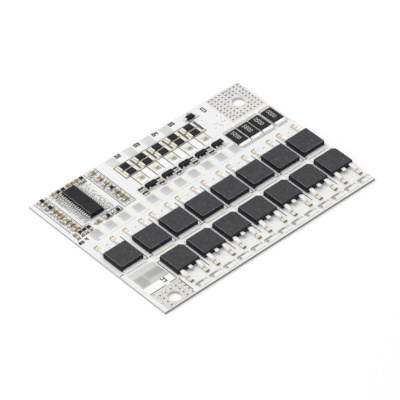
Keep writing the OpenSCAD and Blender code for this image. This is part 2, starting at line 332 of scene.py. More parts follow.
@dataclass(frozen=True)
class GullLead:
    """A formed lead that runs toward +Y: level shoulder, quarter bend down,
    upright leg, quarter bend out and level foot."""

    reach: float
    top: float
    thick: float
    width: float
    bend: float = 0.07
    foot: float = 0.3
    edge: float = 0.035
    root: float = 0.0
    steps: int = 2

    def path(self) -> Array:
        """Rows (y, z) of the middle line, from the body's face outward.

        Returns:
            One row (y, z) for each point.
        """
        half = self.thick / 2
        mid = self.bend + half
        leg = self.reach - self.foot - mid
        turn = np.linspace(0, math.pi / 2, 6)
        shoulder = np.array([[0, self.top - half], [(leg - mid) * 0.6, self.top - half]])
        down = np.stack([leg - mid + mid * np.sin(turn), self.top - half - mid * (1 - np.cos(turn))], -1)
        out = np.stack([leg + mid * (1 - np.cos(turn)), half + mid * (1 - np.sin(turn))], -1)
        sole = np.array([[leg + mid + self.foot * 0.5, half], [self.reach, half]])
        return np.concatenate([shoulder, down, out, sole])

    def shell(self) -> Shell:
        """The lead, begun inside the body where it has a root.

        Returns:
            The closed shell.
        """
        path = self.path()
        if self.root:
            path = np.concatenate([[[-self.root, path[0, 1]]], path])
        return swept_strip(path, self.width, self.thick, self.edge, self.steps)


def stroke_bars(lines: Array, width: float, base: float, thick: float) -> Shell:
    """Flat ink bars, one for each row (x0, y0, x1, y1): the row's line widened
    to both sides and given a small thickness.

    Args:
        lines: one row for each bar.
        width: bar width.
        base: height of the underside.
        thick: ink thickness.

    Returns:
        One shell of all bars.
    """
    rows = np.asarray(lines, float)
    a, b = rows[:, :2], rows[:, 2:]
    way = b - a
    way /= np.maximum(np.linalg.norm(way, axis=1, keepdims=True), 1e-9)
    side = np.stack([-way[:, 1], way[:, 0]], -1) * width / 2
    a, b = a - way * width / 2, b + way * width / 2
    flat = np.stack([a - side, b - side, b + side, a + side], 1)
    low = np.concatenate([flat, np.full((len(rows), 4, 1), base)], -1)
    high = np.concatenate([flat, np.full((len(rows), 4, 1), base + thick)], -1)
    verts = np.concatenate([low, high], 1).reshape(-1, 3)
    one = np.array([[3, 2, 1, 0], [4, 5, 6, 7], [0, 1, 5, 4], [1, 2, 6, 5], [2, 3, 7, 6], [3, 0, 4, 7]])
    quads = (one[None] + (np.arange(len(rows)) * 8)[:, None, None]).reshape(-1, 4)
    return Shell(verts, quads, np.zeros((0, 3), int))


def dashes(x0: float, y0: float, x1: float, y1: float, count: int, share: float) -> Rows:
    """A line cut into count dashes, each filling share of its step.

    Args:
        x0: start along X.
        y0: start along Y.
        x1: end along X.
        y1: end along Y.
        count: number of dashes.
        share: inked share of each step.

    Returns:
        One row (x0, y0, x1, y1) for each dash.
    """
    t = np.arange(count) / count
    a = np.array([x0, y0]) + t[:, None] * np.array([x1 - x0, y1 - y0])
    b = a + np.array([x1 - x0, y1 - y0]) * share / count
    return np.concatenate([a, b], 1).tolist()


SEGMENTS = {"a": (0, 1, 1, 1), "b": (1, 1, 1, 0.5), "c": (1, 0.5, 1, 0), "d": (0, 0, 1, 0),
            "e": (0, 0.5, 0, 0), "f": (0, 1, 0, 0.5), "g": (0, 0.5, 1, 0.5)}
DIGITS = {"0": "abcdef", "2": "abged", "3": "abgcd", "4": "fgbc", "5": "afgcd", "6": "afgecd",
          "9": "abfgcd"}


def digit_bars(text: str, height: float, width: float, gap: float) -> Rows:
    """Bars of plain upright digits, centred on the origin.

    Args:
        text: the digits.
        height: digit height.
        width: digit width.
        gap: space between two digits.

    Returns:
        One row (x0, y0, x1, y1) for each stroke.
    """
    rows = []
    left = -(len(text) * (width + gap) - gap) / 2
    for place, digit in enumerate(text):
        x = left + place * (width + gap)
        for name in DIGITS[digit]:
            x0, y0, x1, y1 = SEGMENTS[name]
            rows.append([x + x0 * width, (y0 - 0.5) * height, x + x1 * width, (y1 - 0.5) * height])
    return rows


def placed(rows: Rows, x: float, y: float) -> Rows:
    """Bar rows shifted by (x, y)."""
    return [[x + a, y + b, x + c, y + d] for a, b, c, d in rows]


# ---------------------------------------------------------------- CAD places


def solid_boxes(node: str) -> Array:
    """Boxes of the separate solids in one CAD node, in millimetres.

    Corners that share a place are taken as one point, and each triangle spreads
    the lowest label among its corners until nothing changes.

    Args:
        node: name of the CAD node.

    Returns:
        Array of shape (solids, 2, 3): lowest and highest corner of each.
    """
    mesh = frame["nodes"][node].data
    co = np.zeros(len(mesh.vertices) * 3, np.float32)
    mesh.vertices.foreach_get("co", co)
    co = co.reshape(-1, 3) / MM
    mesh.calc_loop_triangles()
    tri = np.zeros(len(mesh.loop_triangles) * 3, np.int32)
    mesh.loop_triangles.foreach_get("vertices", tri)
    _, same = np.unique(np.round(co, 3), axis=0, return_inverse=True)
    tri = same.reshape(-1)[tri].reshape(-1, 3)
    label = np.arange(same.max() + 1)
    while True:
        lowest = label[tri].min(1)
        new = label.copy()
        np.minimum.at(new, tri.ravel(), np.repeat(lowest, 3))
        new = new[new]
        if (new == label).all():
            break
        label = new
    point = label[same.reshape(-1)]
    names = np.unique(point)
    boxes = [np.stack([co[point == n].min(0), co[point == n].max(0)]) for n in names]
    boxes.sort(key=lambda b: (round(b[0, 1], 1), round(b[0, 0], 1)))
    return np.array(boxes)


def node_box(node: str) -> Array:
    """Box of a CAD node in millimetres, as (lowest, highest)."""
    return np.array(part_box(node)) / MM


def foot_of(box: Array) -> list[float]:
    """Middle of a box's underside."""
    low, high = box
    return [*(low + high)[:2] / 2, low[2]]


BODIES_IN_ROW = {"rear": 8, "front": 7}


def transistor_boxes(row: str) -> list[Array]:
    """Box of each power transistor's body in a row, from the left."""
    return [node_box(f"{row}_transistor_body_{i}") for i in range(1, BODIES_IN_ROW[row] + 1)]


class Plan:
    """The board's front left corner, from which places on it are given, and the
    height of its top face."""

    def __init__(self) -> None:
        """Reads the board's box."""
        low, high = node_box("board")
        self.corner = low[:2]
        self.top = float(high[2])

    def spot(self, x: float, y: float) -> list[float]:
        """A place on the top face, in the row frame."""
        return [float(x + self.corner[0]), float(y + self.corner[1]), self.top]

    def ink(self, lines: Sequence[Sequence[float]], width: float, thick: float) -> Shell:
        """Ink bars on the top face, given from the front left corner."""
        rows = np.asarray(lines, float) + np.tile(self.corner, 2)
        return stroke_bars(rows, width, self.top, thick)


PLAN = Plan()


# ---------------------------------------------------------------- finishes


class Channel:
    """One output socket of a material, with arithmetic that adds Math nodes."""

    def __init__(self, graph: "Graph", socket: bpy.types.NodeSocket) -> None:
        """Keeps the graph and the socket."""
        self.graph = graph
        self.socket = socket

    def _math(self, operation: str, *values: "Channel | float") -> "Channel":
        """A Math node on these values."""
        return self.graph.node("ShaderNodeMath", dict(enumerate(values)), operation=operation).out()

    def __add__(self, other: "Channel | float") -> "Channel":
        """Sum."""
        return self._math("ADD", self, other)

    __radd__ = __add__

    def __sub__(self, other: "Channel | float") -> "Channel":
        """Difference."""
        return self._math("SUBTRACT", self, other)

    def __rsub__(self, other: float) -> "Channel":
        """Difference, the other way round."""
        return self._math("SUBTRACT", other, self)

    def __mul__(self, other: "Channel | float") -> "Channel":
        """Product."""
        return self._math("MULTIPLY", self, other)

    __rmul__ = __mul__

    def __gt__(self, other: "Channel | float") -> "Channel":
        """1 where greater, 0 elsewhere."""
        return self._math("GREATER_THAN", self, other)

    def __lt__(self, other: "Channel | float") -> "Channel":
        """1 where less, 0 elsewhere."""
        return self._math("LESS_THAN", self, other)

    def wrapped(self, period: float) -> "Channel":
        """The remainder after whole periods, never below nought."""
        return self._math("FLOORED_MODULO", self, period)

    def band(self, low: float, high: float) -> "Channel":
        """Smooth rise from 0 at low to 1 at high."""
        return self.graph.node("ShaderNodeMapRange", {"Value": self, "From Min": low, "From Max": high},
                               interpolation_type="SMOOTHSTEP").out()


class Step:
    """One node of a material."""

    def __init__(self, graph: "Graph", node: bpy.types.Node) -> None:
        """Keeps the graph and the node."""
        self.graph = graph
        self.node = node

    def out(self, name: "str | int" = 0) -> Channel:
        """One of the node's outputs."""
        return Channel(self.graph, self.node.outputs[name])


class Graph:
    """A node tree under construction."""

    def __init__(self, tree: bpy.types.NodeTree) -> None:
        """Empties the tree."""
        self.tree = tree
        self.tree.nodes.clear()

    def node(self, kind: str, inputs: "dict | None" = None, **settings: object) -> Step:
        """Adds a node: settings first, then its input values or links.

        Args:
            kind: the node's type.
            inputs: socket name or number to a value or a Channel.
            settings: properties of the node.

        Returns:
            The new node.
        """
        node = self.tree.nodes.new(kind)
        for key, value in settings.items():
            setattr(node, key, value)
        for key, value in (inputs or {}).items():
            socket = node.inputs[key]
            if isinstance(value, Channel):
                self.tree.links.new(value.socket, socket)
            else:
                socket.default_value = value
        return Step(self, node)


class Paint(Graph):
    """A material under construction. Patterns read object coordinates in mm."""

    def __init__(self, name: str, shown: Colour) -> None:
        """Starts an empty material.

        Args:
            name: the material's name.
            shown: its colour in a plain viewport.
        """
        self.material = bpy.data.materials.new(name)
        self.material.use_nodes = True
        self.material.diffuse_color = (*shown, 1)
        super().__init__(self.material.node_tree)
        place = self.node("ShaderNodeTexCoord").out("Object")
        self.mm = self.node("ShaderNodeVectorMath", {0: place, "Scale": 1 / MM}, operation="SCALE").out()

    def axis(self, name: str) -> Channel:
        """One object coordinate, X, Y or Z, in millimetres."""
        return self.node("ShaderNodeSeparateXYZ", {0: self.mm}).out(name)

    def from_corner(self) -> tuple[Channel, Channel]:
        """Distances along X and Y from the board's front left corner."""
        return self.axis("X") - float(PLAN.corner[0]), self.axis("Y") - float(PLAN.corner[1])

    def stretched(self, factors: Sequence[float]) -> Channel:
        """Object coordinates in millimetres times one factor for each axis."""
        return self.node("ShaderNodeMapping", {"Vector": self.mm, "Scale": tuple(factors)}).out()

    def noise(self, scale: float, detail: float = 3.0, rough: float = 0.55,
              where: "Channel | None" = None) -> Channel:
        """Noise between 0 and 1 with about scale cells for each millimetre."""
        return self.node("ShaderNodeTexNoise", {
            "Vector": where or self.mm, "Scale": scale, "Detail": detail, "Roughness": rough}).out("Fac")

    def cells(self, scale: float) -> Channel:
        """Distance to the nearest of scattered points."""
        return self.node("ShaderNodeTexVoronoi", {"Vector": self.mm, "Scale": scale}).out("Distance")

    def mix(self, share: "Channel | float", a: "Channel | Colour", b: "Channel | Colour") -> Channel:
        """Colour a turned into colour b by share."""
        full = [x if isinstance(x, Channel) else (*x, 1.0) for x in (a, b)]
        return self.node("ShaderNodeMix", {0: share, 6: full[0], 7: full[1]}, data_type="RGBA").out(2)

    def relief(self, height: Channel, depth_mm: float, strength: float) -> Channel:
        """Bump whose height runs over depth_mm."""
        return self.node("ShaderNodeBump", {
            "Height": height, "Distance": depth_mm * MM, "Strength": strength}).out()

    def surface(self, **inputs: "Channel | float") -> bpy.types.Material:
        """Ends the material in one principled surface.

        Args:
            inputs: socket values, with spaces in socket names written as _.

        Returns:
            The finished material.
        """
        named = {key.replace("_", " "): value for key, value in inputs.items()}
        shader = self.node("ShaderNodeBsdfPrincipled", named)
        self.node("ShaderNodeOutputMaterial", {"Surface": shader.out()})
        return self.material


@dataclass(frozen=True)
class Field:
    """A soft-edged patch of another tone: its box is given in millimetres from
    the board's front left corner."""

    box: Box
    colour: Colour
    share: float = 1.0
    soft: float = 0.3
    pitch: float = 0.0

    def cover(self, x: Channel, y: Channel) -> Channel:
        """How much of the patch lies at a place; with a pitch it repeats along X.

        Args:
            x: distance along X from the board's corner.
            y: distance along Y from it.

        Returns:
            1 inside the patch and 0 outside.
        """
        x0, y0, x1, y1 = self.box
        if self.pitch:
            start = x0 - self.soft
            x = (x - start).wrapped(self.pitch) + start
        return self.between(x, x0, x1) * self.between(y, y0, y1)

    def between(self, place: Channel, low: float, high: float) -> Channel:
        """1 between low and high, with a soft rise and fall at the ends."""
        rise = place.band(low - self.soft, low + self.soft)
        return rise * (1 - place.band(high - self.soft, high + self.soft))

    def over(self, g: Paint, place: tuple[Channel, Channel], under: Channel,
             shown: "Channel | float" = 1.0) -> Channel:
        """Lays the patch over the colour under it.

        Args:
            g: the material.
            place: distances along X and Y from the board's front left corner.
            under: the colour under the patch.
            shown: share of the patch that shows.

        Returns:
            The colour with the patch on it.
        """
        return g.mix(self.cover(*place) * self.share * shown, under, self.colour)


@dataclass(frozen=True)
class MaskFinish:
    """White solder mask on top, bare laminate on the cut edges; dark specks partly painted shade."""

    white: Colour = (0.86, 0.86, 0.857)
    over_copper: Colour = (0.82, 0.82, 0.817)
    core: Colour = (0.20, 0.18, 0.15)
    fibre: Colour = (0.42, 0.39, 0.32)
    side: Colour = (0.60, 0.60, 0.58)
    rim: float = 0.02
    # Dark specks round the banks of small chips: partly dirt, partly painted shade between the chips.
    crumbs_and_shade: tuple[Field, ...] = (
        Field((1.5, 32.5, 4.2, 44.6), (0.20, 0.17, 0.13), 0.85, 0.3),
        Field((15.9, 31.1, 18.8, 44.6), (0.20, 0.17, 0.13), 0.85, 0.3),
        Field((5.2, 32.2, 7.6, 43.6), (0.26, 0.25, 0.23), 0.75, 0.4),
        Field((11.3, 31.6, 14.2, 43.6), (0.26, 0.24, 0.20), 0.85, 0.4),
        Field((5.0, 42.9, 13.8, 44.6), (0.26, 0.23, 0.19), 0.7, 0.3),
        Field((9.8, 30.2, 15.4, 32.0), (0.22, 0.20, 0.18), 0.7, 0.3),
        Field((24.0, 30.2, 47.0, 31.1), (0.26, 0.24, 0.20), 0.7, 0.3),
        Field((22.2, 30.6, 24.0, 33.0), (0.26, 0.23, 0.19), 0.7, 0.3),
        Field((2.6, 30.9, 6.4, 32.2), (0.22, 0.20, 0.18), 0.7, 0.3),
    )

    def make(self) -> bpy.types.Material:
        """Builds the material.

        Returns:
            The finished material.
        """
        g = Paint("white_solder_mask", self.white)
        place = g.from_corner()
        z = g.axis("Z")
        cloudy = g.noise(0.35, 4.0).band(0.35, 0.75)
        top = g.mix(cloudy * 0.35, self.white, self.over_copper)
        weave = g.noise(6.0, 2.0, where=g.stretched((1, 1, 14)))
        core = g.mix(weave.band(0.35, 0.7), self.core, self.fibre)
        core = g.mix(place[0] < self.rim, core, self.side)
        broken = g.noise(2.2, 4.0, 0.75).band(0.45, 0.55)
        # Lays the dark specks: partly dirt, partly painted shade between the chips.
        for patch in self.crumbs_and_shade:
            top = patch.over(g, place, top, broken)
        cut = (z > self.rim) * (z < PLAN.top - self.rim)
        grain = g.noise(9.0, 3.0)
        return g.surface(
            Base_Color=g.mix(cut, top, core),
            Roughness=0.34 + 0.1 * grain + 0.35 * cut,
            Normal=g.relief(grain + 0.6 * cloudy, 0.006, 0.35),
            Specular_IOR_Level=0.4,
        )


@dataclass(frozen=True)
class TinFinish:
    """Levelled solder on a pad: soft clouds, fine dimples and flux bloom."""

    name: str
    clean: Colour
    dull: Colour
    metal: float = 0.55
    rough: float = 0.36
    cloud: float = 0.6
    fields: tuple[Field, ...] = ()
    speck: float = 0.0
    stain: Colour = (0.28, 0.25, 0.21)

    def make(self) -> bpy.types.Material:
        """Builds the material.

        Returns:
            The finished material.
        """
        g = Paint(self.name, self.clean)
        cloudy = g.noise(self.cloud, 4.0, 0.6).band(0.3, 0.72)
        dimples = g.cells(3.2)
        grain = g.noise(14.0, 2.0)
        colour = g.mix(cloudy, self.clean, self.dull)
        if self.fields:
            place = g.from_corner()
            for patch in self.fields:
                colour = patch.over(g, place, colour)
        if self.speck:
            colour = g.mix((g.cells(1.6) < 0.25) * self.speck, colour, self.stain)
        return g.surface(
            Base_Color=colour,
            Metallic=self.metal,
            Roughness=self.rough + 0.12 * cloudy + 0.08 * grain,
            Normal=g.relief(dimples + 0.3 * grain, 0.02, 0.35),
        )


@dataclass(frozen=True)
class MouldingFinish:
    """Moulding compound: a grained grey top, and drafted sides painted darker as shade."""

    name: str
    top: Colour
    # The sides are the compound's own near-black, with painted shade added.
    sides: Colour
    top_z: float
    speck: float = 0.5
    shine: float = 0.3
    dust: Colour = (0.32, 0.31, 0.30)

    def make(self) -> bpy.types.Material:
        """Builds the material; above top_z it has its etched face, below it sides with painted shade.

        Returns:
            The finished material.
        """
        g = Paint(self.name, self.top)
        grain = g.noise(11.0, 3.0, 0.6)
        cloudy = g.noise(0.8, 3.0).band(0.3, 0.7)
        pale = tuple(min(1.0, c * 1.35 + 0.004) for c in self.top)
        face = g.mix(cloudy * 0.8, self.top, pale)
        specks = (g.cells(2.2) < 0.2) * g.noise(0.9, 2.0).band(0.46, 0.58)
        scuffs = g.noise(1.0, 2.0, where=g.stretched((5.0, 0.7, 1.0))).band(0.66, 0.72)
        face = g.mix((specks + scuffs * 0.3) * self.speck, face, self.dust)
        return g.surface(
            Base_Color=g.mix(g.axis("Z") > self.top_z, self.sides, face),
            Roughness=0.58 + 0.14 * grain,
            Normal=g.relief(grain, 0.012, 0.4),
            Specular_IOR_Level=self.shine,
        )


@dataclass(frozen=True)
class PlateFinish:
    """Tin plate on stamped metal, with fine rolling lines along one axis."""

    name: str
    colour: Colour
    shade: Colour
    metal: float = 0.8
    rough: float = 0.28
    lines: Triple = (9.0, 0.8, 9.0)

    def make(self) -> bpy.types.Material:
        """Builds the material.

        Returns:
            The finished material.
        """
        g = Paint(self.name, self.colour)
        rolled = g.noise(1.0, 3.0, where=g.stretched(self.lines))
        cloudy = g.noise(1.6, 3.0).band(0.35, 0.7)
        return g.surface(
            Base_Color=g.mix(cloudy * 0.7, self.colour, self.shade),
            Metallic=self.metal,
            Roughness=self.rough + 0.16 * rolled,
            Normal=g.relief(rolled, 0.008, 0.4),
        )


@dataclass(frozen=True)
class CeramicFinish:
    """Fired ceramic or glaze with faint mottling."""

    name: str
    colour: Colour
    mottle: Colour
    rough: float = 0.4
    scale: float = 2.5
    shine: float = 0.4

    def make(self) -> bpy.types.Material:
        """Builds the material.

        Returns:
            The finished material.
        """
        g = Paint(self.name, self.colour)
        spots = g.noise(self.scale, 4.0, 0.65).band(0.35, 0.7)
        grain = g.noise(16.0, 2.0)
        return g.surface(
            Base_Color=g.mix(spots, self.colour, self.mottle),
            Roughness=self.rough + 0.12 * grain,
            Normal=g.relief(grain + spots * 0.3, 0.008, 0.35),
            Specular_IOR_Level=self.shine,
        )


@dataclass(frozen=True)
class InkFinish:
    """Printed ink with slightly broken cover."""

    name: str
    ink: Colour
    thin: Colour

    def make(self) -> bpy.types.Material:
        """Builds the material.

        Returns:
            The finished material.
        """
        g = Paint(self.name, self.ink)
        broken = g.noise(5.0, 3.0, 0.7).band(0.52, 0.72)
        return g.surface(
            Base_Color=g.mix(broken, self.ink, self.thin),
            Roughness=0.55 + 0.1 * broken,
            Normal=g.relief(broken, 0.004, 0.4),
            Specular_IOR_Level=0.3,
        )


class Finish(Enum):
    """The board's finishes, each with the recipe that makes it."""

    MASK = MaskFinish()
    CORNER_TIN = TinFinish(
        "corner_solder", (0.755, 0.73, 0.71), (0.66, 0.63, 0.605),
        metal=0.22, rough=0.42, cloud=0.5, speck=0.75,
        fields=(
            # Painted shade: the front corner pad is painted darker than the back one.
            Field((0.5, -0.5, 9.6, 6.5), (0.60, 0.575, 0.53), 0.45),
        ))
    TAP_TIN = TinFinish(
        "cell_tap_solder", (0.68, 0.68, 0.66), (0.60, 0.60, 0.58), metal=0.2, rough=0.4, cloud=0.5)
    OUTPUT_TIN = TinFinish(
        "output_solder", (0.60, 0.59, 0.57), (0.54, 0.53, 0.505), metal=0.2, rough=0.4, cloud=0.35,
        fields=(
            Field((1.2, 11.9, 8.6, 13.7), (0.65, 0.63, 0.60), 1.0, 0.15),
            Field((1.5, 8.7, 3.75, 11.75), (0.395, 0.385, 0.37), 0.9, 0.3),
            Field((4.1, 9.7, 8.4, 11.75), (0.395, 0.385, 0.375), 0.9, 0.4),
        ))
    BUS_TIN = TinFinish(
        "bus_solder", (0.86, 0.86, 0.855), (0.80, 0.80, 0.80), metal=0.1, rough=0.4, cloud=0.5,
        fields=(
            Field((8.15, 27.0, 10.5, 29.7), (0.58, 0.58, 0.59), 1.0, 0.32, 4.13),
            Field((8.7, 28.0, 10.5, 29.6), (0.45, 0.45, 0.47), 0.5, 0.45, 4.13),
            Field((4.6, 27.4, 6.4, 31.0), (0.50, 0.50, 0.54), 0.8, 0.3),
            Field((3.0, 25.0, 4.7, 31.0), (0.58, 0.56, 0.52), 0.8, 0.3),
        ))
    BARE_COPPER = TinFinish(
        "bare_copper_bars", (0.86, 0.82, 0.66), (0.80, 0.75, 0.57), metal=0.1, rough=0.45, cloud=1.2)
    EDGE_TIN = TinFinish(
        "edge_solder", (0.88, 0.88, 0.87), (0.82, 0.82, 0.80), metal=0.1, rough=0.4, cloud=0.5,
        fields=(
            # Painted shade: a dark band along the back slope of each crowned window and a dark tail at its
            # left end; a paler patch eases part of the band.
            Field((0.0, 1.4, 64.0, 2.5), (0.30, 0.28, 0.25), 0.95, 0.12),
            Field((10.5, 0.75, 11.15, 1.5), (0.26, 0.24, 0.21), 0.85, 0.16, 4.07),
            Field((12.6, 1.3, 14.2, 2.5), (0.72, 0.71, 0.69), 0.7, 0.3, 4.07),
        ))
    PAD_TIN = TinFinish(
        "pad_solder", (0.88, 0.87, 0.85), (0.80, 0.78, 0.74), metal=0.12, rough=0.4, cloud=0.9)
    BEAD_TIN = TinFinish(
        "lead_bead_solder", (0.93, 0.93, 0.92), (0.80, 0.79, 0.77), metal=0.1, rough=0.36, cloud=1.2)
    CREAM_PAD = TinFinish(
        "flux_stained_pads", (0.84, 0.82, 0.75), (0.76, 0.735, 0.65), metal=0.1, rough=0.45, cloud=1.1,
        fields=(
            Field((23.0, 33.2, 26.2, 34.5), (0.92, 0.92, 0.91), 0.9, 0.4, 4.83),
            # A dark brown smudge with a tan edge in each cell field.
            Field((24.2, 34.6, 25.4, 35.8), (0.22, 0.20, 0.16), 0.75, 0.35, 4.83),
            Field((23.6, 35.5, 24.6, 36.3), (0.62, 0.59, 0.50), 0.5, 0.3, 4.83),
            Field((47.5, 26.0, 63.5, 27.7), (0.93, 0.93, 0.92), 1.0, 0.15),
        ))
    # Its dark clouds are partly the solder's own mottle and partly painted shade in the gaps between pins.
    SIGNAL_TIN = TinFinish(
        "signal_pad_solder", (0.72, 0.71, 0.68), (0.34, 0.31, 0.27), metal=0.2, rough=0.4, cloud=2.2)
    POWER_MOULDING = MouldingFinish(
        "power_moulding_compound", (0.031, 0.031, 0.038), (0.006, 0.006, 0.008), top_z=2.08)
    # Painted highlight: light lines on the top rims of the mouldings, where the rounded edge catches the
    # light.
    PAINTED_RIM_HIGHLIGHT = CeramicFinish(
        "painted_rim_highlight", (0.22, 0.22, 0.23), (0.07, 0.07, 0.08), rough=0.5, scale=0.9)
    CHIP_MOULDING = MouldingFinish(
        "chip_moulding_compound", (0.016, 0.016, 0.020), (0.004, 0.004, 0.005),
        top_z=1.76, speck=0.0, shine=0.15)
    SMALL_MOULDING = MouldingFinish(
        "small_moulding_compound", (0.015, 0.015, 0.019), (0.005, 0.005, 0.007),
        top_z=1.37, speck=0.2, shine=0.15)
    FRAME_METAL = PlateFinish(
        "frame_tin_plate", (0.93, 0.925, 0.91), (0.88, 0.87, 0.84), metal=0.08, rough=0.36)
    PIN_METAL = PlateFinish(
        "pin_tin_plate", (0.66, 0.65, 0.63), (0.50, 0.49, 0.47),
        metal=0.3, rough=0.36, lines=(9.0, 9.0, 2.0))
    SENSE_METAL = PlateFinish(
        "sense_end_plate", (0.93, 0.93, 0.92), (0.86, 0.86, 0.84), metal=0.1, rough=0.34)
    # Painted shade: the back ends are the same metal as the front ends, painted a darker beige.
    SENSE_BACK = PlateFinish(
        "sense_back_plate", (0.60, 0.57, 0.52), (0.50, 0.47, 0.42), metal=0.2, rough=0.4)
    CHIP_METAL = PlateFinish(
        "chip_end_plate", (0.84, 0.81, 0.75), (0.20, 0.17, 0.13),
        metal=0.2, rough=0.38, lines=(4.0, 4.0, 4.0))
    GATE_METAL = PlateFinish(
        "gate_end_plate", (0.17, 0.14, 0.10), (0.34, 0.29, 0.21),
        metal=0.2, rough=0.4, lines=(4.0, 4.0, 4.0))
    CREAM_ENDS = PlateFinish(
        "yellowed_end_plate", (0.84, 0.80, 0.70), (0.70, 0.63, 0.48),
        metal=0.1, rough=0.4, lines=(4.0, 4.0, 4.0))
    SENSE_COATING = CeramicFinish(
        "sense_coating", (0.010, 0.010, 0.011), (0.020, 0.020, 0.021), rough=0.42, scale=1.2, shine=0.15)
    BLACK_GLAZE = CeramicFinish(
        "black_glaze", (0.010, 0.010, 0.014), (0.018, 0.018, 0.024), rough=0.38, scale=1.5, shine=0.15)
    GATE_CERAMIC = CeramicFinish(
        "gate_ceramic", (0.93, 0.87, 0.72), (0.66, 0.52, 0.30), rough=0.42, scale=2.2)
    TAN_CERAMIC = CeramicFinish(
        "tan_ceramic", (0.54, 0.37, 0.15), (0.085, 0.055, 0.025), rough=0.42, scale=2.8)
    BLACK_INK = InkFinish("black_ink", (0.030, 0.030, 0.032), (0.25, 0.25, 0.25))
    GREY_INK = InkFinish("grey_ink", (0.35, 0.34, 0.33), (0.62, 0.62, 0.61))
    WHITE_INK = InkFinish("white_ink", (0.96, 0.96, 0.96), (0.90, 0.90, 0.90))
    # Painted shade: the dark inside of each via, laid on the pad as a disc.
    VIA_SHADE = CeramicFinish(
        "via_hole_shade", (0.045, 0.038, 0.032), (0.16, 0.14, 0.12), rough=0.5, scale=2.0)
    # Dark brown smudge in each cell field.
    DARK_SMUDGE = InkFinish("dark_cell_smudges", (0.34, 0.31, 0.26), (0.66, 0.63, 0.56))
    CREAM_MASK = InkFinish("flux_washed_mask", (0.80, 0.75, 0.64), (0.86, 0.83, 0.76))
    BROWN_INK = InkFinish("stained_ink", (0.11, 0.10, 0.085), (0.34, 0.30, 0.25))
    MARK_INK = InkFinish("resistor_marks", (0.60, 0.60, 0.60), (0.20, 0.20, 0.20))


# ---------------------------------------------------------------- pieces


class Workshop:
    """Makes pieces and their materials, hangs them on the CAD body and reports them."""

    def __init__(self) -> None:
        """Starts with no pieces and no materials."""
        self.count = 0
        self._made: dict[Finish, bpy.types.Material] = {}

    def material(self, finish: Finish) -> bpy.types.Material:
        """The material of a finish, made once.

        Args:
            finish: the finish asked for.

        Returns:
            Its material.
        """
        if finish not in self._made:
            self._made[finish] = finish.value.make()
        return self._made[finish]

    def piece(self, name: str, shell: Shell, finish: Finish, slot: str,
              stands_for: Sequence[str] = (), sharp: float = 40.0) -> None:
        """Turns a shell into a piece that rides on the board.

        Args:
            name: the piece's name.
            shell: its surface, in millimetres.
            finish: its finish.
            slot: the record's slot for that finish; not used.
            stands_for: CAD nodes that it replaces.
            sharp: edges that turn more than this many degrees stay sharp.
        """
        mesh = bpy.data.meshes.new(name)
        verts = (shell.verts * MM).astype(np.float32)
        loops = np.concatenate([shell.quads.ravel(), shell.tris.ravel()]).astype(np.int32)
        q, t = len(shell.quads), len(shell.tris)
        starts = np.concatenate([np.arange(q) * 4, q * 4 + np.arange(t) * 3]).astype(np.int32)
        mesh.vertices.add(len(verts))
        mesh.vertices.foreach_set("co", verts.ravel())
        mesh.loops.add(len(loops))
        mesh.loops.foreach_set("vertex_index", loops)
        mesh.polygons.add(len(starts))
        mesh.polygons.foreach_set("loop_start", starts)
        mesh.update(calc_edges=True)
        mesh.validate()
        mesh.set_sharp_from_angle(angle=math.radians(sharp))
        mesh.polygons.foreach_set("use_smooth", np.arange(q + t) < q)
        mesh.materials.append(self.material(finish))
        obj = bpy.data.objects.new(name, mesh)
        bpy.context.scene.collection.objects.link(obj)
        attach(obj, BODY)
        if stands_for:
            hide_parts(*stands_for)
        self.count += 1
        LOG.info("%s: %d points, %d faces", name, len(verts), len(starts))

    def dress(self, node: str, finish: Finish) -> None:
        """Gives a CAD node its finish; its shape stays.

        Args:
            node: the CAD node.
            finish: its finish.
        """
        mesh = frame["nodes"][node].data
        mesh.materials.clear()
        mesh.materials.append(self.material(finish))
        LOG.info("%s: dressed with %s", node, finish.name)


@dataclass
class Assembly:
    """A group of pieces that the workshop makes together."""

    shop: Workshop

    def build(self) -> None:
        """Makes the group's pieces."""
        raise NotImplementedError


# ---------------------------------------------------------------- board


